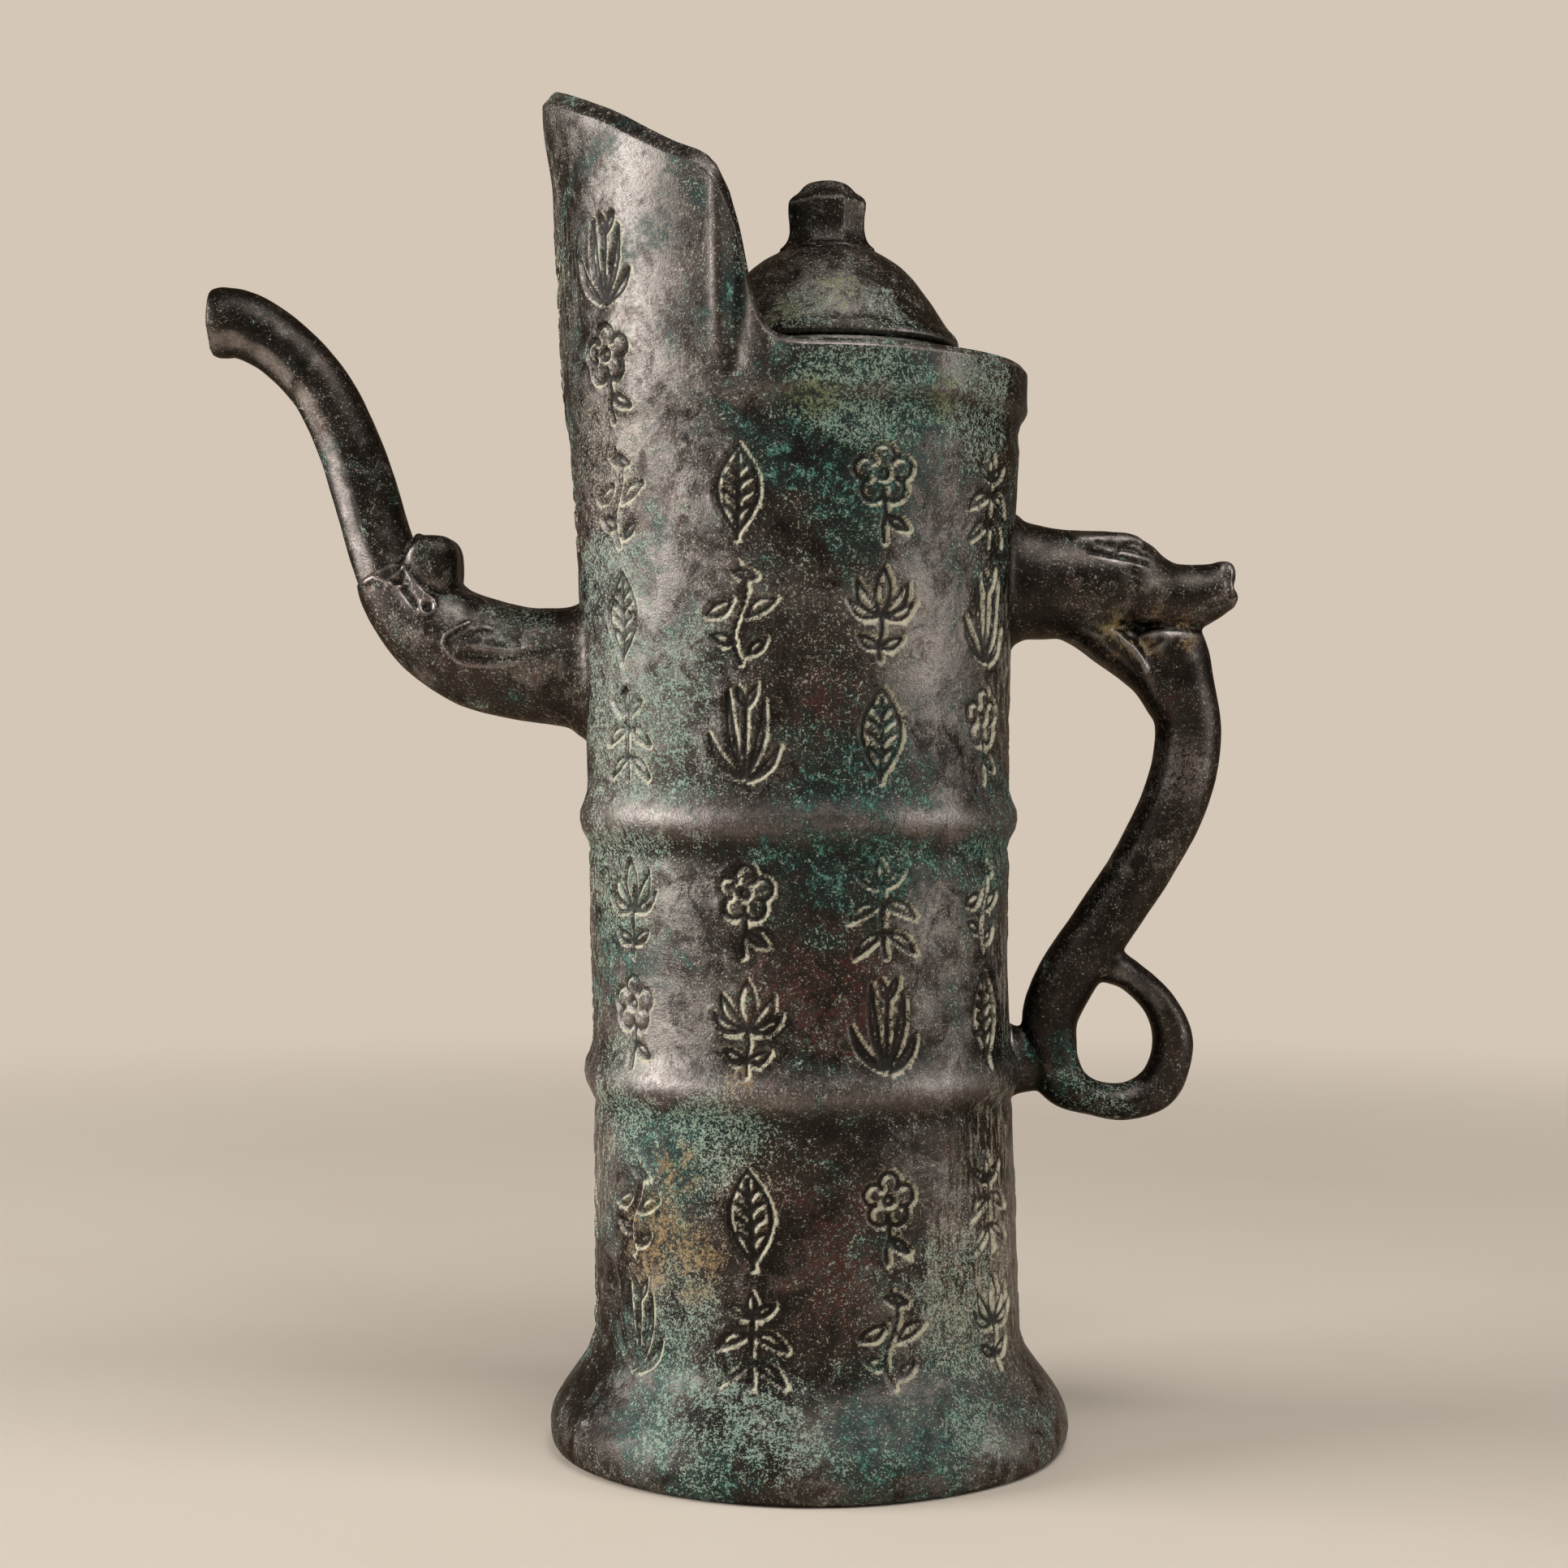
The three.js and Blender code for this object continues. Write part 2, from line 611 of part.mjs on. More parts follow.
function makeSpoutHead() {
  const outside = limb(headPath, spoutRoot, { sides: 24, steps: 2 });
  const lobes = [-1, 1].map((side) => ball({
    x: spoutRoot.x - FOREHEAD_OUT,
    y: side * FOREHEAD_SPREAD,
    z: spoutRoot.z + FOREHEAD_UP,
  }, FOREHEAD_RADIUS));
  const borePath = runOn(thinned(headPath, SPOUT_WALL), RUN_OUT, RUN_OUT);
  const bore = limb(borePath, spoutRoot, { sides: 16, steps: 2, turn: 0.5 });
  const reach = headPath[0].half + FIT_GAP;
  const wall = wallCutter(SPOUT_HEIGHT - 2 * reach, SPOUT_HEIGHT + 2 * reach);
  const trunk = limb(runOn(trunkPath, FIT_GAP, 0), spoutRoot, { sides: 20, steps: 2, grow: 2 * FIT_GAP });
  const head = outside.add(lobes[0]).add(lobes[1]);
  return toGeometry(head.subtract(bore).subtract(trunk).subtract(wall));
}

function makeSpoutTrunk() {
  const root = headPath.at(-1);
  const bored = root.half - SPOUT_WALL - FIT_GAP;
  const outside = limb(trunkPath, spoutRoot, { sides: 20, steps: 2 });
  const spigotPath = runOn([trunkPath[0], trunkPath[1]], SPIGOT_LENGTH, 0)
    .map((at) => ({ ...at, half: bored, side: bored }));
  const spigot = limb(spigotPath, spoutRoot, { sides: 16, steps: 1 });
  const channel = bored - SPIGOT_WALL;
  const wide = thinned(trunkPath, TRUNK_WALL).slice(0, -TIP_STATIONS);
  wide[0] = { ...wide[0], half: channel, side: channel };
  const pastTip = 0.2 * SPOUT_REACH;
  const borePath = runOn(wide, SPIGOT_LENGTH + RUN_OUT, pastTip);
  const bore = limb(borePath, spoutRoot, { sides: 16, steps: 2, turn: 0.5 });
  return toGeometry(outside.add(spigot).subtract(bore));
}

function gripPath() {
  const top = shaftPath[0];
  const tenon = { out: top.out, half: TENON_RADIUS, side: TENON_RADIUS };
  return [
    { ...tenon, up: top.up + TENON_LENGTH + TENON_SHOULDER },
    { ...tenon, up: top.up + TENON_SHOULDER },
    ...shaftPath,
  ];
}

function gripSolid(grow) {
  const shaft = limb(gripPath(), handleRoot, { sides: 20, steps: 2, grow });
  return shaft.add(limb(loopPath, handleRoot, { sides: 16, steps: 2, grow }));
}

function makeHandleHead() {
  const skull = limb(skullPath, handleRoot, { sides: 24, steps: 2 });
  const jaw = limb(jawPath, handleRoot, { sides: 20, steps: 2 });
  const reach = 2 * skullPath[0].half;
  const wall = wallCutter(HANDLE_HEIGHT - reach, HANDLE_HEIGHT + reach);
  return toGeometry(skull.add(jaw).subtract(gripSolid(FIT_GAP)).subtract(wall));
}

function makeHandleGrip() {
  const lug = new THREE.CylinderGeometry(LUG_HEIGHT / 2, LUG_HEIGHT / 2, LUG_REACH, 24);
  lug.rotateZ(Math.PI / 2);
  lug.scale(1, LUG_WIDTH / LUG_HEIGHT, 1);
  const lugHeight = HANDLE_HEIGHT - LUG_DROP;
  lug.translate(wallX(lugHeight, 1) + LUG_REACH / 2 - LUG_SUNK, 0, lugHeight);
  const wall = wallCutter(lugHeight - LUG_HEIGHT, lugHeight + LUG_HEIGHT);
  return toGeometry(gripSolid(0).add(toSolid(lug)).subtract(wall));
}

function makeLidDome() {
  const rise = DOME_HEIGHT - DOME_BAND;
  const arc = DOME_LINE.map(([across, up]) => [domeRadius * across, lidSeat + DOME_BAND + rise * up]);
  const top = lidSeat + DOME_HEIGHT;
  const hole = TANG_RADIUS + FIT_GAP;
  const seat = TANG_HEAD_RADIUS + 1.5;
  const inside = arc.slice(1).reverse().map(([radius, height]) => [radius - DOME_WALL, height - DOME_WALL]);
  const hollow = MOUTH_RADIUS - FLANGE_WALL - LID_GAP;
  const outline = [
    [hollow, lidSeat],
    [domeRadius, lidSeat],
    ...arc,
    [hole, top],
    [hole, top - DOME_WALL],
    [seat, top - DOME_WALL],
    ...inside.filter(([radius]) => radius > seat && radius < hollow),
    [hollow, lidSeat],
  ];
  const geometry = turned(outline, LID_SEGMENTS);
  geometry.translate(mouthX, 0, 0);
  return geometry;
}

function makeLidFlange() {
  const outer = MOUTH_RADIUS - LID_GAP;
  const inner = outer - FLANGE_WALL;
  const low = lidSeat - FLANGE_DEPTH;
  const outline = [[inner, low], [outer, low], [outer, lidSeat], [inner, lidSeat], [inner, low]];
  const geometry = turned(outline, LID_SEGMENTS);
  geometry.translate(mouthX, 0, 0);
  return geometry;
}

function makeLidKnob() {
  const base = lidSeat + DOME_HEIGHT;
  const under = base - DOME_WALL - FIT_GAP;
  const edge = base + KNOB_HEIGHT - KNOB_CAP;
  const outline = [
    [0, under - TANG_HEAD_HEIGHT],
    [TANG_HEAD_RADIUS - 1, under - TANG_HEAD_HEIGHT],
    [TANG_HEAD_RADIUS, under - TANG_HEAD_HEIGHT / 2],
    [TANG_HEAD_RADIUS, under],
    [TANG_RADIUS, under],
    [TANG_RADIUS, base],
    [KNOB_RADIUS, base],
    [KNOB_RADIUS + KNOB_FLARE, edge],
    [KNOB_RADIUS * 0.7, edge + KNOB_CAP * 0.6],
    [KNOB_RADIUS * 0.35, edge + KNOB_CAP * 0.92],
    [0, base + KNOB_HEIGHT],
  ];
  const geometry = turned(outline, KNOB_SIDES);
  geometry.rotateZ(Math.PI / KNOB_SIDES);
  geometry.translate(mouthX, 0, 0);
  return geometry;
}

const pot = new THREE.Group();

function addPiece(name, geometry, material) {
  const mesh = new THREE.Mesh(geometry, material);
  mesh.name = name;
  pot.add(mesh);
}

addPiece('body', makeBody(), bronze(BRONZE_BODY, 0.45));
addPiece('base_plate', makeBasePlate(), bronze(BRONZE_BODY, 0.6));
addPiece('mouth_ring', makeMouthRing(), bronze(BRONZE_DARK, 0.55));
addPiece('spout_head', makeSpoutHead(), bronze(BRONZE_DARK, 0.4));
addPiece('spout_trunk', makeSpoutTrunk(), bronze(BRONZE_DARK, 0.38));
addPiece('handle_head', makeHandleHead(), bronze(BRONZE_DARK, 0.4));
addPiece('handle_grip', makeHandleGrip(), bronze(BRONZE_DARK, 0.36));
addPiece('lid_dome', makeLidDome(), bronze(BRONZE_DARK, 0.42));
addPiece('lid_flange', makeLidFlange(), bronze(BRONZE_DARK, 0.5));
addPiece('lid_knob', makeLidKnob(), bronze(BRONZE_DARK, 0.35));

export default pot;
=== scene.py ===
# %% [markdown]
# # A bronze wine pot, dressed in Blender
#
# The pot is a cast bronze cylinder with two bamboo joints, a flared foot and a tall pouring shield.
# An elephant's head and trunk make the spout, a beast bites the top of the handle, and a small domed lid
# closes the mouth. The imported CAD model comes first, because every piece below stands in for one of its
# parts, which is hidden.

# %% Load the imported model
import math

import bmesh
import bpy
import numpy as np
from mathutils import Matrix, Vector, noise
from mathutils.kdtree import KDTree


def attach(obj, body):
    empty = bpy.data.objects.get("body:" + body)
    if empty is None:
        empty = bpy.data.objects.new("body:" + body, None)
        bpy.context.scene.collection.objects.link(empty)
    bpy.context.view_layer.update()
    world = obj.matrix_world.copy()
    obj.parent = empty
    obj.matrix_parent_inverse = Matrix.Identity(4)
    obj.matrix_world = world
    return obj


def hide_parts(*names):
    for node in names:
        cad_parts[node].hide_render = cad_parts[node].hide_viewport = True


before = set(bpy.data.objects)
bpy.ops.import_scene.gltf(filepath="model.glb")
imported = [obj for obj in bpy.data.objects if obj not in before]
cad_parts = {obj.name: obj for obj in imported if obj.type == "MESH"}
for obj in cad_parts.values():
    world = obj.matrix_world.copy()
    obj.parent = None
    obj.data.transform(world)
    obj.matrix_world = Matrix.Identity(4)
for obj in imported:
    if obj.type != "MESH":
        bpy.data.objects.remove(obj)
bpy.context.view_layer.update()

# %% [markdown]
# ## Camera and studio
#
# The photograph was taken from close by, a little above the pot's middle, so the camera stands there with
# the same lens and tips down by less than a degree. A tall soft panel on each side gives a round dark metal
# its two long highlights with a dark band between them. The floor and the backdrop are one plain pale sweep.

# %% Camera
MM = 0.001
PHOTO_SIZE = 1932
FOCAL_PIXELS = 3270
SENSOR_WIDTH = 36
CAMERA_PLACE = Vector((-5.4, -554, 143.7)) * MM
CAMERA_DIP = math.radians(0.72)


def scene_object(name, data):
    """A new object in the scene that holds a camera, a lamp or a mesh."""
    made = bpy.data.objects.new(name, data)
    bpy.context.scene.collection.objects.link(made)
    return made


camera_data = bpy.data.cameras.new("photo_camera")
camera_data.sensor_width = SENSOR_WIDTH
camera_data.lens = FOCAL_PIXELS / PHOTO_SIZE * SENSOR_WIDTH
camera_data.clip_start = 0.01
camera = scene_object("photo_camera", camera_data)
camera.location = CAMERA_PLACE
camera.rotation_euler = (math.pi / 2 - CAMERA_DIP, 0, 0)
bpy.context.scene.camera = camera
bpy.context.scene.view_settings.view_transform = "Standard"
print("lens", round(camera_data.lens, 2), "mm")

# %% [markdown]
# ## Shader sums
#
# A material is easier to read as sums than as a web of nodes. This class wraps one socket: adding,
# subtracting or multiplying two of them adds a Math node, and every other node comes from one method.

# %% Shader values
class Value:
    """One socket of a material, which can be used in a Python sum."""

    def __init__(self, tree, socket=None):
        self.tree = tree
        self.socket = socket

    def node(self, kind, settings, inputs, output=0):
        made = self.tree.nodes.new(kind)
        for name, setting in settings.items():
            setattr(made, name, setting)
        for name, given in inputs.items():
            if isinstance(given, Value):
                self.tree.links.new(given.socket, made.inputs[name])
            else:
                made.inputs[name].default_value = given
        return Value(self.tree, made.outputs[output] if made.outputs else None)

    def points(self):
        return self.node("ShaderNodeTexCoord", {}, {}, output="Object")

    def distance(self, first, second):
        measure = {"operation": "DISTANCE"}
        return self.node("ShaderNodeVectorMath", measure, {0: first, 1: second}, output="Value")

    def flat(self, colour):
        """One plain colour, for others to be painted over."""
        plain = self.node("ShaderNodeRGB", {}, {})
        plain.socket.default_value = colour
        return plain

    def math(self, operation, first, second):
        return self.node("ShaderNodeMath", {"operation": operation}, {0: first, 1: second})

    def __add__(self, other):
        return self.math("ADD", self, other)

    def __radd__(self, other):
        return self.math("ADD", other, self)

    def __sub__(self, other):
        return self.math("SUBTRACT", self, other)

    def __rsub__(self, other):
        return self.math("SUBTRACT", other, self)

    def __mul__(self, other):
        return self.math("MULTIPLY", self, other)

    def __rmul__(self, other):
        return self.math("MULTIPLY", other, self)

    def above(self, low, high):
        """0 below low, 1 above high, and a soft ramp between them."""
        return self.node(
            "ShaderNodeMapRange",
            {"interpolation_type": "SMOOTHSTEP"},
            {"Value": self, "From Min": low, "From Max": high},
        )

    def most(self, other):
        return self.math("MAXIMUM", self, other)

    def least(self, other):
        return self.math("MINIMUM", self, other)

    def painted(self, over, mask):
        """This colour with another over it, where the mask is 1."""
        return self.node("ShaderNodeMix", {"data_type": "RGBA"}, {0: mask, 6: self, 7: over}, output=2)


def new_material(name):
    material = bpy.data.materials.new(name)
    material.use_nodes = True
    material.node_tree.nodes.clear()
    return material


def finish_material(start, surface):
    start.node("ShaderNodeOutputMaterial", {}, {"Surface": surface})


print("shader class ready")

# %% The backdrop's own light
BACKDROP_COLOR = (0.66, 0.57, 0.475, 1)
REFLECTED_SHARE = 0.3


def seen_share(start):
    """All of the backdrop's own light for the camera, and a share of it for reflections."""
    seen = start.node("ShaderNodeLightPath", {}, {}, output="Is Camera Ray")
    for ray in ("Is Glossy Ray", "Is Transmission Ray"):
        seen = seen.most(start.node("ShaderNodeLightPath", {}, {}, output=ray) * REFLECTED_SHARE)
    return seen


print("reflections see", REFLECTED_SHARE, "of the backdrop's own light")

# %% World
WORLD_COLOR = (1.0, 0.93, 0.86, 1)
WORLD_STRENGTH = 0.07

world = bpy.data.worlds.new("studio")
world.use_nodes = True
world.node_tree.nodes.clear()
sky = Value(world.node_tree)
lit_sky = sky.node("ShaderNodeBackground", {}, {"Color": WORLD_COLOR, "Strength": WORLD_STRENGTH})
seen_sky = sky.node("ShaderNodeBackground", {}, {"Color": BACKDROP_COLOR, "Strength": 1})
sky_mixed = sky.node("ShaderNodeMixShader", {}, {0: seen_share(sky), 1: lit_sky, 2: seen_sky})
sky.node("ShaderNodeOutputWorld", {}, {"Surface": sky_mixed})
bpy.context.scene.world = world
print("world light", WORLD_STRENGTH)

# %% Floor material
FLOOR_COLOR = (0.74, 0.645, 0.54, 1)
FLOOR_SHADE = (0.70, 0.60, 0.495, 1)
FLOOR_ROUGHNESS = 0.75
MOTTLE_NOISE = {"Scale": 9, "Detail": 5}
MOTTLE_RANGE = (0.45, 0.75)
MOTTLE_STRENGTH = 0.5
BACKDROP_START = 0.3
BACKDROP_FULL = 0.85

floor_material = new_material("pale_floor")
floor = Value(floor_material.node_tree)
mottle = floor.node("ShaderNodeTexNoise", {}, {"Vector": floor.points(), **MOTTLE_NOISE})
floor_tint = floor.flat(FLOOR_COLOR).painted(FLOOR_SHADE, mottle.above(*MOTTLE_RANGE) * MOTTLE_STRENGTH)
lit_floor = floor.node(
    "ShaderNodeBsdfPrincipled", {}, {"Base Color": floor_tint, "Roughness": FLOOR_ROUGHNESS}
)
seen_floor = floor.node("ShaderNodeEmission", {}, {"Color": BACKDROP_COLOR, "Strength": 1})
out = floor.distance(floor.points(), (0, 0, 0))
far = out.above(BACKDROP_START, BACKDROP_FULL) * seen_share(floor)
finish_material(floor, floor.node("ShaderNodeMixShader", {}, {0: far, 1: lit_floor, 2: seen_floor}))
print("the floor turns into backdrop", BACKDROP_START, "to", BACKDROP_FULL, "m out")

# %% Floor sweep
FLOOR_FRONT = -2.6
FLOOR_BACK = 2.6
FLOOR_WIDTH = 5.0
SWEEP_RADIUS = 0.7
SWEEP_STEPS = 16
WALL_HEIGHT = 3.0


def only_verts(parts):
    return [part for part in parts if isinstance(part, bmesh.types.BMVert)]


def mesh_from(bm, name):
    mesh = bpy.data.meshes.new(name)
    bm.to_mesh(mesh)
    bm.free()
    return mesh


sweep = bmesh.new()
line = [sweep.verts.new((-FLOOR_WIDTH / 2, y, 0)) for y in (FLOOR_FRONT, FLOOR_BACK)]
sweep.edges.new(line)
bend = bmesh.ops.spin(
    sweep,
    geom=[line[1]],
    cent=(0, FLOOR_BACK, SWEEP_RADIUS),
    axis=(1, 0, 0),
    angle=math.pi / 2,
    steps=SWEEP_STEPS,
    use_merge=False,
)
top = bmesh.ops.extrude_vert_indiv(sweep, verts=only_verts(bend["geom_last"]))
bmesh.ops.translate(sweep, verts=top["verts"], vec=(0, 0, WALL_HEIGHT))
side = bmesh.ops.extrude_edge_only(sweep, edges=sweep.edges[:])
bmesh.ops.translate(sweep, verts=only_verts(side["geom"]), vec=(FLOOR_WIDTH, 0, 0))
bmesh.ops.recalc_face_normals(sweep, faces=sweep.faces[:])
sweep_mesh = mesh_from(sweep, "floor_sweep")
sweep_mesh.shade_smooth()
sweep_mesh.materials.append(floor_material)
floor_sweep = scene_object("floor_sweep", sweep_mesh)
print("floor sweep", len(sweep_mesh.polygons), "faces")

# %% Lamps
LAMPS = {
    "left_panel": {"turn": -82, "rise": 16, "away": 1.6, "size": (1.15, 1.05), "watts": 14.5, "spread": 120},
    "right_panel": {"turn": 74, "rise": 16, "away": 1.6, "size": (0.46, 1.05), "watts": 3.8, "spread": 120},
    "overhead_panel": {"turn": 30, "rise": 60, "away": 1.1, "size": (0.7, 0.6), "watts": 4.6, "spread": 150},
    "front_fill": {"turn": -38, "rise": 24, "away": 1.5, "size": (0.8, 0.8), "watts": 1.1, "spread": 150},
}
LIT_POINT = Vector((0, 0, 140)) * MM


def add_lamp(name, turn, rise, away, size, watts, spread):
    """An area lamp, turned from the camera's side round the pot and raised. Angles are in degrees."""
    around = math.radians(turn)
    up = math.radians(rise)
    back = Vector((math.sin(around) * math.cos(up), -math.cos(around) * math.cos(up), math.sin(up)))
    data = bpy.data.lights.new(name, "AREA")
    data.shape = "RECTANGLE"
    data.size, data.size_y = size
    data.energy = watts
    data.spread = math.radians(spread)
    lamp = scene_object(name, data)
    lamp.location = LIT_POINT + back * away
    lamp.rotation_euler = back.to_track_quat("Z", "Y").to_euler()


for lamp_name, placing in LAMPS.items():
    add_lamp(lamp_name, **placing)
print(len(LAMPS), "lamps")

# %% [markdown]
# ## Old bronze
#
# The metal is dark brown bronze with a grey sheen, handled smooth on its ridges. Green and blue-green
# copper salts sit in the hollows and in blotches, with red-brown oxide, ochre earth and pale grains between.
# Each is one coat: a mask from grains of the right size, and a colour painted where the mask is 1. An image
# could do it too, but noise on Object coordinates has no seams and is sharp at every distance.

# %% Bronze colours
DARK_METAL = (0.020, 0.017, 0.015, 1)
BROWN_METAL = (0.048, 0.040, 0.034, 1)
GREY_METAL = (0.188, 0.170, 0.157, 1)
POLISHED_METAL = (0.420, 0.370, 0.345, 1)
EDGE_TINT = (0.55, 0.50, 0.45, 1)
RED_OXIDE = (0.080, 0.017, 0.013, 1)
BLACK_GREEN = (0.010, 0.024, 0.022, 1)
TEAL = (0.040, 0.112, 0.090, 1)
BRIGHT_TEAL = (0.095, 0.300, 0.235, 1)
MINT = (0.285, 0.390, 0.310, 1)
BEIGE = (0.460, 0.400, 0.300, 1)
YELLOW_GREEN = (0.170, 0.200, 0.065, 1)
OCHRE = (0.290, 0.185, 0.080, 1)
GROOVE_DARK = (0.006, 0.006, 0.005, 1)
GROOVE_EDGE = (0.560, 0.520, 0.380, 1)
print("bronze colours ready")

# %% [markdown]
# Nine noises stand for everything from broad clouds to dust, and each coat mixes a few of them by share. The
# pieces also carry four marks: "carved" in a cut line, "edge" at its lips, "hollow" in dips and "ridge" on
# high places. The hollows are painted darker as shade, and the lip towards the light is painted paler as a
# highlight over real deposit. Last come the spots, which are round places where the photograph shows a stain
# to gather; the dark spots are partly black patina and partly painted shade.

# %% A skin of bronze
# Each grain is its size in millimetres, then the noise's detail, roughness and twist.
GRAINS = {
    "broad": (48, 2, 0.6, 0),
    "cloud": (15, 5, 0.6, 0.5),
    "drift": (19, 5, 0.65, 0.8),
    "patch": (5.5, 6, 0.72, 0.6),
    "crumb": (2.2, 5, 0.75, 0.3),
    "fleck": (1.5, 4, 0.7, 0),
    "streak": (1.3, 4, 0.7, 0),
    "speck": (0.7, 3, 0.7, 0),
    "dust": (0.35, 2, 0.7, 0),
}
STREAK_STRETCH = (1, 1, 0.22)
SPOT_CORE = 0.3


class Skin:
    """One bronze while its coats go on: the colour so far, and the salts, which leave it rough and dull."""

    def __init__(self, name, spots):
        self.material = new_material(name)
        self.start = Value(self.material.node_tree)
        self.points = self.start.points()
        self.spots = spots
        self.found = {}
        self.color = self.start.flat(DARK_METAL)
        self.salts = 0.0

    def grain(self, name):
        if name not in self.found:
            size, detail, roughness, twist = GRAINS[name]
            points = self.points
            if name == "streak":
                stretch = {0: points, 1: STREAK_STRETCH}
                points = self.start.node("ShaderNodeVectorMath", {"operation": "MULTIPLY"}, stretch)
            sockets = {"Vector": points, "Scale": 1 / (size * MM), "Detail": detail}
            sockets.update({"Roughness": roughness, "Distortion": twist})
            self.found[name] = self.start.node("ShaderNodeTexNoise", {}, sockets)
        return self.found[name]

    def mix(self, **shares):
        """A sum of grains, each by its share."""
        parts = [self.grain(name) * share for name, share in shares.items()]
        return sum(parts[1:], parts[0])

    def mark(self, name):
        """One of the four marks that the mesh carries."""
        return self.start.node("ShaderNodeAttribute", {"attribute_name": name}, {}, output="Fac")

    def gathered(self, kind):
        """1 in the spots of one kind, fading at their edges, and 0 in a skin that has none."""
        if kind not in self.found:
            inside = 0.0
            for x, y, z, radius in self.spots.get(kind, []):
                away = self.start.distance(self.points, (x * MM, y * MM, z * MM))
                inside = (1 - away.above(SPOT_CORE * radius * MM, radius * MM)).most(inside)
            self.found[kind] = inside
        return self.found[kind]

    def paint(self, colour, mask, strength=1.0, salt=0.0):
        """Lays on a colour where the mask is 1. Salt is how rough and dull it leaves the metal."""
        self.color = self.color.painted(colour, mask * strength)
        if salt:
            self.salts = (mask * salt).most(self.salts)


print(len(GRAINS), "grains")

# %% Metal coats
def lay_metal(skin, sheen):
    """Brown and grey bronze, red oxide, bright glints and dark pits, with painted shade in the hollows."""
    cloud = skin.grain("cloud")
    hollow = skin.mark("hollow")
    brown = skin.mix(cloud=0.7, fleck=0.3).above(0.38, 0.60)
    # Here and in the grey below, hollows keep less colour and stay dark metal: this is painted shade.
    skin.paint(BROWN_METAL, brown * (1 - 0.8 * hollow))
    grey = skin.mix(broad=0.4, patch=0.4, dust=0.2).above(0.575 - 0.2 * sheen, 0.675 - 0.2 * sheen)
    # The dark spots lower the sheen: partly black patina, partly painted shade.
    grey = (grey * (1 - 0.85 * skin.gathered("dark"))).most(skin.mark("ridge"))
    skin.paint(GREY_METAL, grey * (1 - 0.9 * hollow), strength=0.92)
    red = (skin.mix(cloud=0.4, patch=0.6) + skin.gathered("red") * 0.10).above(0.54, 0.62)
    skin.paint(RED_OXIDE, red * skin.grain("crumb").above(0.44, 0.56), strength=0.7, salt=0.5)
    glints = skin.mix(speck=0.5, dust=0.5).above(0.57, 0.62)
    skin.paint(POLISHED_METAL, glints * (0.12 + 0.36 * cloud.above(0.4, 0.6)))
    pits = skin.mix(crumb=0.45, dust=0.55).above(0.535, 0.60)
    skin.paint(DARK_METAL, pits, strength=0.72)


print("metal coats ready")

# %% Salt coats
HOLLOW_PULL = 0.04
RIDGE_PUSH = 0.12
THICKEST = 0.095
GRAIN_EDGE = 0.05


def scattered(fine, zone, start, spread=0.75):
    """Fine grains that lie thick where the zone is high and thin out where it is low."""
    return (fine + ((zone - 0.5) * spread).least(THICKEST)).above(start, start + GRAIN_EDGE)


def lay_salts(skin, green):
    """A black-green ground, then teal and mint grains that keep to the hollows. Gives the teal's mask."""
    low = skin.mark("hollow") * HOLLOW_PULL - skin.mark("ridge") * RIDGE_PUSH
    teal_pull = skin.gathered("teal") * 0.10 + low
    ground = (skin.mix(drift=0.6, patch=0.4) + teal_pull).above(0.60 - 0.12 * green, 0.70 - 0.12 * green)
    skin.paint(BLACK_GREEN, ground, strength=0.75, salt=0.35)
    teal_grain = skin.mix(crumb=0.5, speck=0.3, dust=0.2)
    teal_zone = skin.mix(drift=0.5, patch=0.5) + teal_pull
    teal = scattered(teal_grain, teal_zone, 0.625 - 0.05 * green)
    skin.paint(TEAL, teal, strength=0.8, salt=0.9)
    skin.paint(BRIGHT_TEAL, scattered(teal_grain, teal_zone, 0.665 - 0.05 * green), strength=0.65)
    mint_grain = skin.mix(fleck=0.3, speck=0.4, dust=0.3)
    mint_zone = skin.mix(cloud=0.3, drift=0.2, patch=0.5) + skin.gathered("mint") * 0.15 + low
    skin.paint(MINT, scattered(mint_grain, mint_zone, 0.628 - 0.06 * green), strength=0.75, salt=0.8)
    return teal


print("salt coats ready")

# %% Earth coats
# Each bloom is its colour, its strength and the grains that it is made of.
BLOOMS = {
    "yellow": (YELLOW_GREEN, 0.7, {"patch": 0.4, "fleck": 0.3, "speck": 0.3}),
    "ochre": (OCHRE, 0.75, {"patch": 0.45, "fleck": 0.25, "speck": 0.3}),
}
BLOOM_SALT = 0.7


def lay_earths(skin, green):
    """Pale streaks and grains, yellow-green blooms and ochre earth."""
    if "streaks" in skin.spots:
        speckled = 0.4 + 0.6 * skin.grain("speck").above(0.42, 0.55)
        streaks = skin.grain("streak").above(0.50, 0.58) * skin.gathered("streaks") * speckled
        skin.paint(BEIGE, streaks, strength=0.5, salt=0.7)
    pale_zone = skin.mix(broad=0.5, patch=0.5) + skin.gathered("beige") * 0.14
    pale = scattered(skin.mix(speck=0.5, dust=0.5), pale_zone, 0.635 - 0.04 * green, spread=0.5)
    skin.paint(BEIGE, pale, strength=0.6, salt=0.6)
    for kind, (colour, strength, shares) in BLOOMS.items():
        if kind in skin.spots:
            bloom = skin.gathered(kind) * skin.mix(**shares).above(0.47, 0.57)
            skin.paint(colour, bloom, strength, BLOOM_SALT)


print(len(BLOOMS), "blooms")

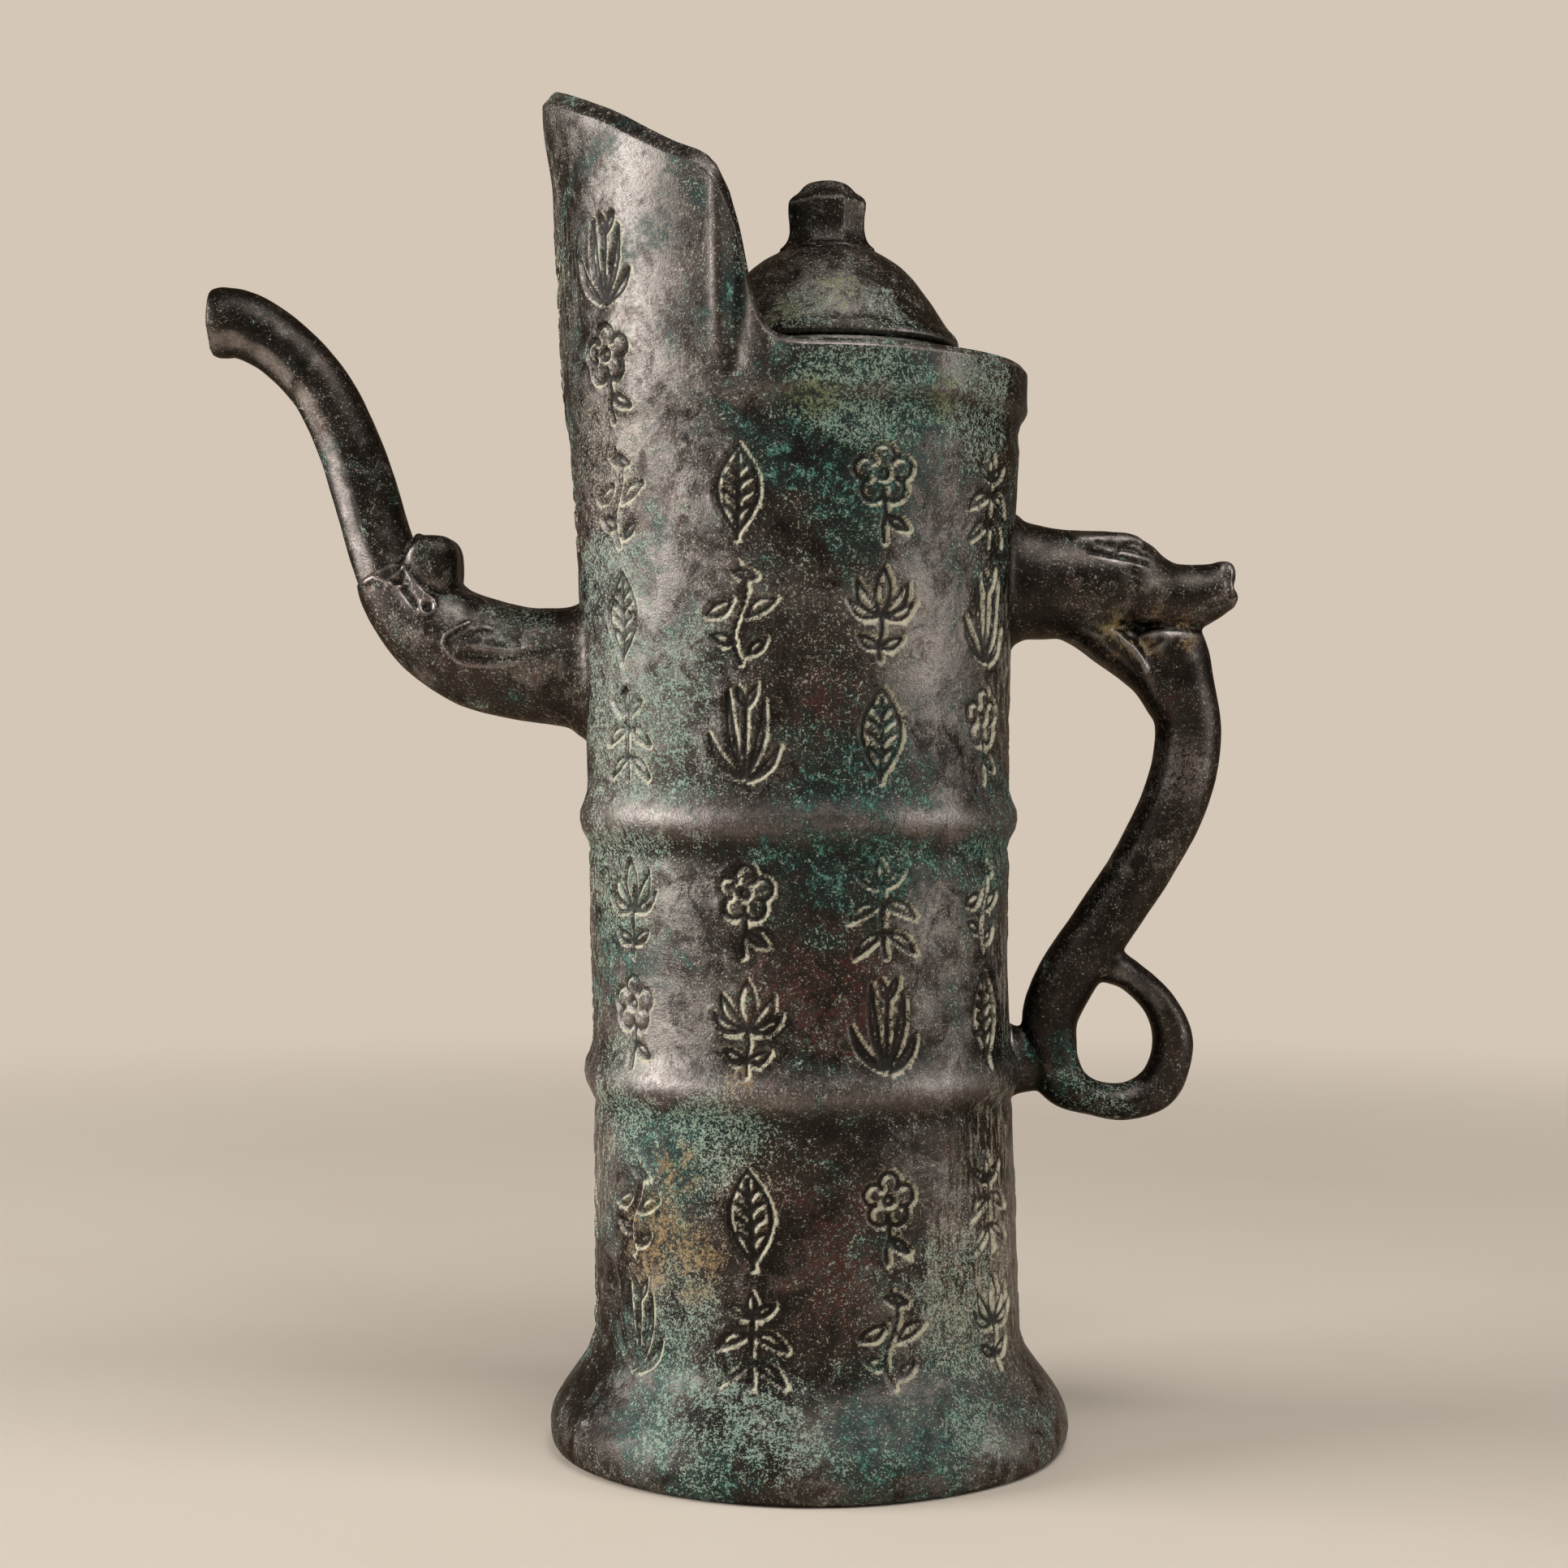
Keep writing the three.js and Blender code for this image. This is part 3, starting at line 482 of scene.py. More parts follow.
# %% Wear coats
def lay_wear(skin, teal):
    """Polished high places, near-black cut lines, and pale deposits and a painted highlight at their lips.
    Gives the worn places' mask.
    """
    rubbed = skin.mark("ridge").most(skin.gathered("worn")) * (1 - teal)
    worn = rubbed * skin.mix(fleck=0.5, dust=0.5).above(0.40, 0.56)
    skin.paint(POLISHED_METAL, worn, strength=0.5)
    carved = skin.mark("carved")
    skin.paint(GROOVE_DARK, carved.above(0.30, 0.70), strength=0.92)
    # The lips' pale colour is partly real deposit and partly a painted highlight on the lip towards the
    # light.
    lip_deposit_and_highlight = skin.mark("edge").above(0.2, 0.6) * skin.mix(patch=0.4, fleck=0.3, dust=0.3).above(0.42, 0.52)
    skin.paint(GROOVE_EDGE, lip_deposit_and_highlight, strength=0.8, salt=0.8)
    skin.salts = skin.salts.most(carved.above(0.4, 0.8))
    return worn


print("wear coats ready")

# %% Bronze material
CLEAN_ROUGHNESS = 0.29
DUST_ROUGHNESS = 0.13
SALT_ROUGHNESS = 0.32
POLISH = 0.06
CLEAN_METALLIC = 0.96
SALT_DULLNESS = 0.9
GRAIN_RELIEF = {"dust": 0.3, "speck": 0.5, "fleck": 0.5, "patch": 0.7}
SALT_RELIEF = 0.25
BUMP_STRENGTH = 0.55


def bronze(name, green, sheen, grain_depth, spots):
    """An old bronze. Green and sheen are from 0 to 1, and spots lists where stains and painted shade gather.
    """
    skin = Skin(name, spots)
    lay_metal(skin, sheen)
    teal = lay_salts(skin, green)
    lay_earths(skin, green)
    worn = lay_wear(skin, teal)
    relief = skin.mix(**GRAIN_RELIEF) + skin.salts * SALT_RELIEF
    bump = {"Height": relief, "Strength": BUMP_STRENGTH, "Distance": grain_depth * MM}
    rough = CLEAN_ROUGHNESS + DUST_ROUGHNESS * skin.grain("dust") + SALT_ROUGHNESS * skin.salts
    sockets = {
        "Base Color": skin.color,
        "Roughness": rough - POLISH * worn,
        "Metallic": CLEAN_METALLIC - SALT_DULLNESS * skin.salts,
        "Specular Tint": EDGE_TINT,
        "Normal": skin.start.node("ShaderNodeBump", {}, bump),
    }
    finish_material(skin.start, skin.start.node("ShaderNodeBsdfPrincipled", {}, sockets))
    return skin.material


print("bronze material ready")

# %% Three bronzes
# A spot is its place and its radius in millimetres.
BODY_SPOTS = {
    "mint": [
        (-36, -28, 150, 34), (-40, -24, 122, 24), (-38, -24, 74, 18), (-20, -42, 70, 16),
        (-24, -46, 16, 20), (-10, -50, 15, 15), (32, -40, 12, 11), (-26, -36, 36, 14), (30, -34, 34, 22),
        (10, -46, 214, 20), (34, -30, 212, 18), (-40, -24, 176, 20), (-30, 34, 60, 26), (34, 28, 150, 28),
        (-20, 40, 196, 30), (12, 46, 30, 24), (6, 44, 110, 20),
    ],
    "teal": [
        (6, -46, 130, 34), (8, -46, 204, 32), (-30, -40, 8, 16), (14, -50, 8, 18), (-16, -50, 6, 12),
        (-30, -30, 62, 20), (40, -20, 128, 26), (30, -36, 20, 20), (-40, -22, 100, 18), (20, 40, 96, 26),
        (-36, 26, 122, 24), (0, 50, 8, 20), (30, 36, 206, 26), (-10, 44, 158, 24),
    ],
    "red": [
        (0, -46, 96, 26), (2, -46, 44, 24), (4, -46, 150, 14), (-46, -6, 190, 26), (12, 44, 62, 22),
        (-18, 40, 140, 18),
    ],
    # Dark spots are partly black patina and partly painted shade, on the front's middle and over the shield.
    "dark": [
        (0, -46, 188, 20), (0, -44, 158, 22), (2, -44, 104, 20), (4, -44, 60, 22), (2, -46, 34, 18),
        (14, 42, 180, 22), (-8, 44, 84, 22), (-14, -60, 246, 38),
    ],
    "ochre": [
        (-32, -32, 46, 14), (-24, -38, 44, 11), (-26, -36, 62, 7), (-14, -42, 80, 5), (-20, 40, 34, 12),
    ],
    "beige": [
        (-38, -26, 200, 22), (34, -32, 40, 26), (-14, -44, 60, 20), (-26, -38, 50, 22), (28, 36, 60, 20),
    ],
    "yellow": [(0, -46, 212, 7), (26, -38, 212, 6), (-12, -46, 6, 6), (10, 46, 212, 7)],
    "streaks": [
        (38, -22, 40, 30), (40, -22, 64, 20), (44, -8, 96, 22), (44, -6, 160, 30), (-48, -4, 240, 26),
        (-46, -6, 60, 26), (-46, -6, 110, 26), (20, 42, 50, 22), (-34, 30, 90, 20),
    ],
}

FITTING_SPOTS = {
    "teal": [(-62, -10, 152, 8), (50, -6, 78, 14), (-101, -6, 205, 7)],
    "mint": [(60, -6, 74, 14), (-60, -8, 170, 12)],
    "ochre": [(64, -9, 167, 7), (71, -9, 168, 7), (77, -8, 168, 6), (68, 8, 167, 8)],
    "yellow": [(63, -9, 168, 6)],
    "worn": [(-79.5, -6, 158.6, 4), (-124, -2, 231, 6), (76, -6, 140, 9), (66, -6, 76, 6)],
}

LID_SPOTS = {
    "mint": [(0, -26, 232, 12), (16, -24, 232, 10)],
    "yellow": [(6, -24, 237, 8), (-6, -26, 232, 7)],
}

FINISHES = {
    "body_bronze": {"green": 0.75, "sheen": 0.6, "grain_depth": 0.24, "spots": BODY_SPOTS},
    "fitting_bronze": {"green": 0.3, "sheen": 0.25, "grain_depth": 0.16, "spots": FITTING_SPOTS},
    "lid_bronze": {"green": 0.5, "sheen": 0.45, "grain_depth": 0.16, "spots": LID_SPOTS},
}
bronzes = {name: bronze(name, **finish) for name, finish in FINISHES.items()}
print(len(bronzes), "bronzes")

# %% [markdown]
# ## Shared mesh helpers
#
# Sizes are in millimetres, as on a drawing, and each finished mesh is scaled to metres once at its end.
# A turned piece is a line of points spun once round the axis, and later vertices are nudged like clay.

# %% Helpers
def eased(value, low, high):
    share = np.clip((value - low) / (high - low), 0, 1)
    return share * share * (3 - 2 * share)


def spun(outline, steps, closed=False):
    """A bmesh of the outline, given as (radius, height) points, turned once round the Z axis."""
    bm = bmesh.new()
    verts = [bm.verts.new((radius, 0, height)) for radius, height in outline]
    for first, second in zip(verts, verts[1:]):
        bm.edges.new((first, second))
    if closed:
        bm.edges.new((verts[-1], verts[0]))
    bmesh.ops.spin(
        bm,
        geom=bm.verts[:] + bm.edges[:],
        cent=(0, 0, 0),
        axis=(0, 0, 1),
        angle=2 * math.pi,
        steps=steps,
        use_merge=True,
    )
    return bm


def corners(mesh, kind="co"):
    """Where each vertex is or, for the kind "normal", which way it faces."""
    found = np.zeros(len(mesh.vertices) * 3)
    mesh.vertices.foreach_get(kind, found)
    return found.reshape(-1, 3)


def set_corners(mesh, places):
    mesh.vertices.foreach_set("co", places.ravel())
    mesh.update()


def reworked(mesh, work):
    """The mesh after some bmesh operators, which work runs on its bmesh."""
    bm = bmesh.new()
    bm.from_mesh(mesh)
    work(bm)
    bm.to_mesh(mesh)
    bm.free()
    return mesh


def mark(mesh, name, values):
    attribute = mesh.attributes.new(name, "FLOAT", "POINT")
    attribute.data.foreach_set("value", np.clip(values, 0, 1).astype(np.float32))


def neighbour_mean(mesh, values, rounds):
    """Values blurred over each vertex's neighbours."""
    ends = np.zeros(len(mesh.edges) * 2, int)
    mesh.edges.foreach_get("vertices", ends)
    one, two = ends[0::2], ends[1::2]
    count = len(mesh.vertices)
    share = np.maximum(np.bincount(one, minlength=count) + np.bincount(two, minlength=count), 1)
    shaped = values.reshape(count, -1).copy()
    for _ in range(rounds):
        blurred = np.zeros_like(shaped)
        for column in range(shaped.shape[1]):
            values_here = shaped[:, column]
            total = np.bincount(one, values_here[two], count) + np.bincount(two, values_here[one], count)
            blurred[:, column] = total / share
        shaped = blurred
    return shaped.reshape(values.shape)


def undulation(places, size, seed):
    """Gentle cast unevenness from -1 to 1, in waves of the given size."""
    shift = Vector((seed * 17.3, seed * 5.1, -seed * 9.7))
    return np.array([noise.noise(Vector(place) / size + shift) for place in places])


def hump(value, middle, width):
    return np.exp(-((value - middle) / width) ** 2)


def humps(value, bands):
    """A sum of humps, each given by its middle, its width and its height."""
    return sum(height * hump(value, middle, width) for middle, width, height in bands)


def add_piece(mesh, node, body, slot):
    """Scales a mesh to metres and puts it in the scene on its body, in place of its CAD node."""
    mesh.transform(Matrix.Scale(MM, 4))
    mesh.shade_smooth()
    mesh.materials.append(bronzes[slot])
    piece = scene_object("wine_pot_" + node, mesh)
    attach(piece, body)
    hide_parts(node)
    print(piece.name, sum(len(face.vertices) - 2 for face in mesh.polygons), "triangles")


print("mesh helpers ready")

# %% [markdown]
# ## The body's shape
#
# The body is cast in one piece: foot, wall with two bamboo joints, rim and pouring shield. It could be
# carved from a cylinder with booleans, but a hand-made wall is never that exact. So its shape is written as
# a radius and a height for every angle, measured from the spout's side, and a spun grid is moved onto it.

# %% Body sizes and curves
RIM_HEIGHT = 222.5
BODY_LEAN = 3.1
WALL = 3.0
RIM_WALL = 5.0
WAIST_RADIUS = 43.35
WAIST_HEIGHT = 92
LOWER_RADIUS = 44.6
LOWER_CURVE = 1.3
NECK_RADIUS = 46.8
NECK_HEIGHT = 209
UPPER_CURVE = 2.2
COLLAR_STAND = 1.55
COLLAR_SHOULDER = (0.15, 0.45)
FOOT_RADIUS = 53.9
FOOT_FLAT = 49.0
FOOT_BAND = 5
FOOT_TOP = 24
FOOT_WALL = 7.5
FOOT_INSIDE = 8.5
FOOT_ROUND = 4.0
FOOT_EDGE = 2.2
RING_MIDDLES = [76.8, 129.2]
RING_STAND = 1.5
RING_REACH = 7.5
SHIELD_TOP = 280
SHIELD_TURN = 67
SHIELD_END = 87
SHIELD_FLARE = 4.2
SHIELD_FLARE_CURVE = 0.6
SHIELD_LIP = 1.6
SHIELD_LIP_SPAN = (258, 274)
EDGE_LINE = [
    (0, 280), (10, 278.6), (20, 276.2), (30, 273.3), (40, 270), (46, 267.6), (52, 264.8), (60, 261.3),
    (67, 258.9), (69.5, 257.6), (71.7, 255.3), (73.8, 251), (75.8, 244.6), (77.4, 237.8), (78.9, 232.2),
    (80.5, 228.5), (82.2, 226), (84.5, 224.1), (87.3, 222.9), (92, 222.5),
]
LEDGE_HEIGHT = 216
LEDGE_WIDTH = 3
RECESS_RADIUS = 46.3
BASE_THICKNESS = 3


def axis_shift(height):
    return -BODY_LEAN * np.sin(math.pi / 2 * np.minimum(height / RIM_HEIGHT, 1))


def plain_radius(height):
    fall = np.clip(1 - height / WAIST_HEIGHT, 0, 1)
    rise = np.clip((height - WAIST_HEIGHT) / (NECK_HEIGHT - WAIST_HEIGHT), 0, 1)
    lower = (LOWER_RADIUS - WAIST_RADIUS) * fall ** LOWER_CURVE
    upper = (NECK_RADIUS - WAIST_RADIUS) * rise ** UPPER_CURVE
    return WAIST_RADIUS + lower + upper


def ring_stand(height):
    total = 0 * height
    for middle in RING_MIDDLES:
        total = total + RING_STAND * (1 - eased(abs(height - middle) / RING_REACH, 0.1, 1))
    return total


def foot_stand(height):
    return (FOOT_RADIUS - LOWER_RADIUS) * (1 - eased(height, FOOT_BAND, FOOT_TOP))


def outer_radius(height):
    low = np.clip((FOOT_ROUND - height) / FOOT_ROUND, 0, 1)
    rounding = FOOT_EDGE * (1 - np.sqrt(1 - low * low))
    return plain_radius(height) + ring_stand(height) + foot_stand(height) - rounding


def inner_radius(height):
    foot = (FOOT_WALL - WALL) * (1 - eased(height, FOOT_INSIDE, FOOT_TOP))
    return plain_radius(height) + foot_stand(height) - WALL - foot


def shielded_share(angle):
    """1 round the shield, and 0 round the plain rim."""
    return 1 - eased(angle, SHIELD_TURN, SHIELD_END)


def top_height(angle):
    """Height of the rim or shield at an angle in degrees from the spout's side."""
    return np.interp(angle, *zip(*EDGE_LINE))


def upper_radius(share, height, angle):
    collar = COLLAR_STAND * eased(share, *COLLAR_SHOULDER)
    up = np.maximum(height - NECK_HEIGHT, 0) / (SHIELD_TOP - NECK_HEIGHT)
    front = np.maximum(np.cos(np.radians(angle)), 0) ** 2
    lip = SHIELD_LIP * eased(height, *SHIELD_LIP_SPAN) * front
    shield = SHIELD_FLARE * up ** SHIELD_FLARE_CURVE + lip
    return NECK_RADIUS + collar + (shield - collar) * shielded_share(angle)


print("waist radius", WAIST_RADIUS, "mm, shield top", SHIELD_TOP, "mm")

# %% [markdown]
# The grid's rows run from the foot's underside up the outside, over the rim and down the inside. Each row
# has either a plain radius and height, or a share of the way up to the rim or shield. A row near the top
# also has its place on the bevel, as a rise and an inset, and the inside rows stand in by the wall.

# %% Body rows
ROW_PITCH = 2.0
AROUND_STEPS = 142
UPPER_ROWS = 34
FOOT_ROWS = [0.5, 1.2, 2.2]
FIRST_PLAIN_ROW = 3.4
INSIDE_HEIGHTS = [210, 190, 160, 130, 100, 70, 45, FOOT_TOP, 18, 13, FOOT_INSIDE, BASE_THICKNESS]
LEDGE_OUT = NECK_RADIUS + COLLAR_STAND - RIM_WALL
LEDGE_IN = LEDGE_OUT - LEDGE_WIDTH
LEDGE_ROWS = [(LEDGE_OUT, LEDGE_HEIGHT), (LEDGE_IN, LEDGE_HEIGHT), (LEDGE_IN, LEDGE_HEIGHT - 3)]
OUTER_BEVEL = [(0.1, 0.02), (0.2, 0.12), (0.55, 0.5), (0.88, 0.86), (1.0, 1.1)]
INNER_BEVEL = [(1, -0.7), (0.75, -0.15), (0.3, 0)]
INNER_SHARES = [0.9, 0.7, 0.55, 0.42]


def body_row(radius=0.0, height=0.0, share=-1.0, rise=0.0, inset=0.0, wall=0.0):
    return radius, height, share, rise, inset, wall


outside_heights = FOOT_ROWS + list(np.arange(FIRST_PLAIN_ROW, NECK_HEIGHT - 1, ROW_PITCH))
outer_rows = [body_row(RECESS_RADIUS), body_row(FOOT_FLAT), body_row(outer_radius(0.0))]
outer_rows += [body_row(outer_radius(height), height) for height in outside_heights]
plain_count = len(outer_rows)
outer_rows += [body_row(share=share) for share in np.linspace(0, 1, UPPER_ROWS)]
outer_rows += [body_row(share=1, rise=rise, inset=inset) for rise, inset in OUTER_BEVEL]
inner_rows = [body_row(share=1, rise=rise, inset=inset, wall=1) for rise, inset in INNER_BEVEL]
inner_rows += [body_row(share=share, wall=1) for share in INNER_SHARES]
inner_rows += [body_row(*place) for place in LEDGE_ROWS]
inner_rows += [body_row(inner_radius(height), height) for height in INSIDE_HEIGHTS]
inner_rows.append(body_row(RECESS_RADIUS, BASE_THICKNESS))
outside_rows = len(outer_rows)
rows = np.array(outer_rows + inner_rows, float)
print(len(rows), "rows,", outside_rows, "of them outside")

# %% Places on the body
BEVEL_DROP = 1.5
SHIELD_BEVEL_DROP = 1.5
BEVEL_INSET = 0.8


def row_place(row, angle):
    """Radius and height of whole rows at angles in degrees from the spout's side."""
    radius, height, share, rise, inset, wall = rows[row].T
    bevel = BEVEL_DROP + SHIELD_BEVEL_DROP * shielded_share(angle)
    top = top_height(angle) - bevel
    risen = NECK_HEIGHT + share * (top - NECK_HEIGHT) + rise * bevel
    out = upper_radius(share, risen, angle) - inset * bevel * BEVEL_INSET - wall * RIM_WALL
    upper = share >= 0
    return np.where(upper, out, radius), np.where(upper, risen, height)


def grid_place(row, angle):
    """The same between rows: the shape is drawn straight from one row to the next."""
    low = np.clip(np.floor(row + 1e-6).astype(int), 0, len(rows) - 1)
    high = np.minimum(low + 1, len(rows) - 1)
    part = np.clip(row - low, 0, 1)
    low_radius, low_height = row_place(low, angle)
    high_radius, high_height = row_place(high, angle)
    return low_radius + (high_radius - low_radius) * part, low_height + (high_height - low_height) * part


print("rim at", np.round(grid_place(np.array([outside_rows - 1.0]), np.array([180.0])), 1).ravel(), "mm")

# %% [markdown]
# ## The cut ornament
#
# The wall carries shallow cut ornament in upright columns. Each motif is a plant from a scholar's garden:
# bamboo, plum blossom, a broad leaf, orchid, lotus and a trailing vine. A motif is a few curved strokes in
# millimetres, and the columns stand evenly round the pot. The strokes are cut into the real wall, so they
# catch the light as a graver's cut does, and aren't only painted on it.

# %% Ornament motifs
def arc(centre, radius, start, end, steps=14):
    """Points of an arc, with its angles in degrees from the right and anticlockwise."""
    turns = np.radians(np.linspace(start, end, steps))
    return [(centre[0] + radius * math.cos(t), centre[1] + radius * math.sin(t)) for t in turns]


def mirrored(strokes):
    return strokes + [[(-x, y) for x, y in stroke] for stroke in strokes]


def leaf(root, tip, belly, bow=0.0):
    """A slim leaf: two bowed lines from its root to its tip. Bow bends the whole leaf sideways."""
    along = Vector(tip) - Vector(root)
    across = Vector((-along.y, along.x)).normalized()
    sides = []
    for side in (1, -1):
        bowed = []
        for share in np.linspace(0, 1, 10):
            swell = math.sin(math.pi * share)
            middle = Vector(root) + along * share + across * swell * (side * belly + bow)
            bowed.append((middle.x, middle.y))
        sides.append(bowed)
    return sides


def bamboo_sprig():
    stem = [[(0.25 * math.sin(y / 2.6), y) for y in np.linspace(-8.8, 4.8, 14)]]
    low = leaf((0.3, -4.2), (6.2, -8.4), 0.85, 0.5)
    middle = leaf((0.3, 1.3), (6.8, -1.8), 0.95, 0.6)
    high = leaf((0.3, 4.4), (4.6, 6.9), 0.75)
    return stem + mirrored(low + middle + high) + leaf((0, 4.8), (0, 9.2), 0.9)


def blossom():
    petals = []
    for turn in range(5):
        facing = 90 + 72 * turn
        middle = math.radians(facing)
        centre = (3.5 * math.cos(middle), 3.4 + 3.5 * math.sin(middle))
        petals.append(arc(centre, 2.15, facing - 122, facing + 122, 14))
    stem = [[(0.2, -1.4), (0.5, -3.8), (-0.3, -6.4), (0, -9.2)]]
    return petals + [arc((0, 3.4), 0.85, 0, 360, 12)] + stem + leaf((0.5, -4.4), (4.8, -6.9), 0.8)


def broad_leaf():
    rib = [[(0, -9.2), (0.25, -3), (0, 7.4)]]
    veins = [[(0.2, y), (1.2, y + 1.3), (2.5, y + 2.0)] for y in (-4.6, -1.8, 1.0, 3.8)]
    return rib + leaf((0, -8.2), (0, 9.2), 4.1) + mirrored(veins)


def orchid():
    blades = leaf((-0.6, -8.2), (-6.8, 0.2), 0.6, 1.2) + leaf((-0.2, -8.0), (-2.4, 8.0), 0.6, 0.8)
    blades += leaf((0.6, -8.0), (4.4, 6.2), 0.6, -0.9) + leaf((1.0, -8.6), (6.9, -2.4), 0.6, -0.9)
    bloom = leaf((0.9, 5.0), (-0.6, 9.0), 0.6) + leaf((0.9, 5.0), (3.2, 9.2), 0.6)
    return blades + bloom + [[(0.2, -8.0), (0.6, -1.0), (0.9, 5.0)]]


def lotus():
    stem = [[(0, -0.4), (0.35, -3.2), (-0.2, -6.2), (0, -9.2)]]
    side = leaf((0.5, -0.2), (5.4, 6.4), 1.1, -0.9) + leaf((0.9, -0.6), (6.9, 2.6), 0.9, -0.9)
    pads = leaf((0.1, -6.6), (4.6, -4.6), 0.9, -0.3)
    return stem + leaf((0, 0), (0, 9.2), 1.7) + mirrored(side) + mirrored(pads)


def vine():
    stem = [[(1.5 * math.sin(y / 3.1), y) for y in np.linspace(-9.2, 9.2, 26)]]
    right = leaf((1.4, -0.6), (6.9, 2.4), 1.1, 0.5) + leaf((-1.0, 8.0), (3.6, 6.6), 0.8)
    left = leaf((-1.3, 2.6), (-6.6, 0.2), 1.1, 0.4) + leaf((-1.2, -5.4), (-5.6, -3.6), 0.9)
    low = leaf((1.0, -7.6), (4.6, -5.0), 0.8)
    return stem + right + left + low


MOTIFS = [bamboo_sprig(), blossom(), broad_leaf(), orchid(), lotus(), vine()]
print(len(MOTIFS), "motifs")

# %% Ornament columns
UNROLL_RADIUS = 43.35
COLUMN_COUNT = 10
COLUMN_START = -14.4
ROW_HEIGHTS = [29.7, 53.1, 90.1, 112.8, 146.8, 170.1, 193.4, 218.1, 240.1]
NECK_ROW = 7
SHIELD_REACH = 47
MOTIF_REACH = 10
POINT_PITCH = 0.3
WOBBLE_SCALE = 0.04
WOBBLE_TILT = 3
JOINTS = [(-90, 161, 13.2), (90, 179, 12.8), (90, 79, 6.5)]
stroke_points = []


def place_motif(motif, turn, height, scale, tilt):
    """Draws a motif in dense points on the unrolled wall, at a turn from the front and a height."""
    across = math.radians(turn) * UNROLL_RADIUS
    lean = Matrix.Rotation(math.radians(tilt), 2) * scale
    for stroke in motif:
        for start, end in zip(stroke, stroke[1:]):
            start, end = lean @ Vector(start), lean @ Vector(end)
            for share in np.linspace(0, 1, max(2, int((end - start).length / POINT_PITCH))):
                point = start.lerp(end, share)
                stroke_points.append((across + point.x, height + point.y))


def is_free(turn, height):
    """True where a motif is clear of the spout's and the handle's roots."""
    for joint_turn, joint_height, reach in JOINTS:
        across = math.radians(turn - joint_turn) * UNROLL_RADIUS
        if math.hypot(across, height - joint_height) < reach + MOTIF_REACH:
            return False
    return True


for column in range(COLUMN_COUNT):
    turn = (COLUMN_START + 360 * column / COLUMN_COUNT + 180) % 360 - 180
    for row, height in enumerate(ROW_HEIGHTS):
        if is_free(turn, height) and (row < NECK_ROW or abs(turn + 90) < SHIELD_REACH):
            motif = MOTIFS[(2 * row + 5 * column + row // 3) % len(MOTIFS)]
            wobble = math.sin(3.1 * column + 1.7 * row)
            place_motif(motif, turn, height, 1 + WOBBLE_SCALE * wobble, WOBBLE_TILT * wobble)

full_turn = 2 * math.pi * UNROLL_RADIUS
wrapped = [(x + shift, y) for x, y in stroke_points for shift in (-full_turn, 0, full_turn)]
stroke_tree = KDTree(len(wrapped))
for index, (x, y) in enumerate(wrapped):
    stroke_tree.insert((x, y, 0), index)
stroke_tree.balance()
print(len(stroke_points), "stroke points")


def stroke_offsets(turns, heights):
    """For places on the unrolled wall: how far across and up they lie from the nearest stroke."""
    across = np.radians(turns) * UNROLL_RADIUS
    nearest = np.array([stroke_tree.find((x, y, 0))[0][:2] for x, y in zip(across, heights)])
    return across - nearest[:, 0], heights - nearest[:, 1]


# %% [markdown]
# The grid starts coarse, because most of the wall is plain, and is cut finer only along the strokes. Then
# each vertex goes to its place: first the cast shape with its uneven skin, then the cut of the graver, which
# is deepest in the middle of a stroke and throws up a fine lip at each side.

# %% Body mesh
FINE_REACH = 1.9
FINEST_REACH = 1.25
CUT_WIDTH = 0.46
CUT_DEPTH = 0.85
LIP_HEIGHT = 0.2
UNDERSIDE_ROWS = 2.5
EDGE_MIDDLE = 76
EDGE_REACH = 6


def from_spout(x, y):
    """Angle in degrees from the spout's side, which is -X."""
    return 180 - np.abs(np.degrees(np.arctan2(y, x)))


def front_turn(x, y):
    """Turn in degrees from the front, which is -Y, growing towards +X."""
    return np.degrees(np.arctan2(x, -y))


def refine(bm, reach):
    """Splits the outside faces that lie near a stroke or by the shield's edge."""
    faces = []
    for face in bm.faces:
        heights = [vert.co.z for vert in face.verts]
        if max(heights) < outside_rows - 0.5 and max(heights) - min(heights) < 1.5:
            faces.append(face)
    centres = np.array([face.calc_center_median() for face in faces])
    angles = from_spout(centres[:, 0], centres[:, 1])
    _, heights = grid_place(centres[:, 2], angles)
    away = np.hypot(*stroke_offsets(front_turn(centres[:, 0], centres[:, 1]), heights))
    by_edge = (abs(angles - EDGE_MIDDLE) < EDGE_REACH * reach) & (centres[:, 2] > plain_count)
    split = {edge for face, near in zip(faces, (away < reach) | by_edge) if near for edge in face.edges}
    bmesh.ops.subdivide_edges(bm, edges=list(split), cuts=1, use_grid_fill=True)


body_bm = spun([(1, index) for index in range(len(rows))], AROUND_STEPS)
bottom = [edge for edge in body_bm.edges if edge.is_boundary]
bmesh.ops.bridge_loops(body_bm, edges=bottom)
refine(body_bm, FINE_REACH)
refine(body_bm, FINEST_REACH)
body_mesh = mesh_from(body_bm, "wine_pot_body")
grid_x, grid_y, grid_row = corners(body_mesh).T
angle = from_spout(grid_x, grid_y)
turn = front_turn(grid_x, grid_y)
around = np.radians(turn)
radius, height = grid_place(grid_row, angle)
outside = (grid_row < outside_rows - 0.5) & (grid_row > UNDERSIDE_ROWS)
shielded = shielded_share(angle)
print("body grid", len(grid_row), "vertices")

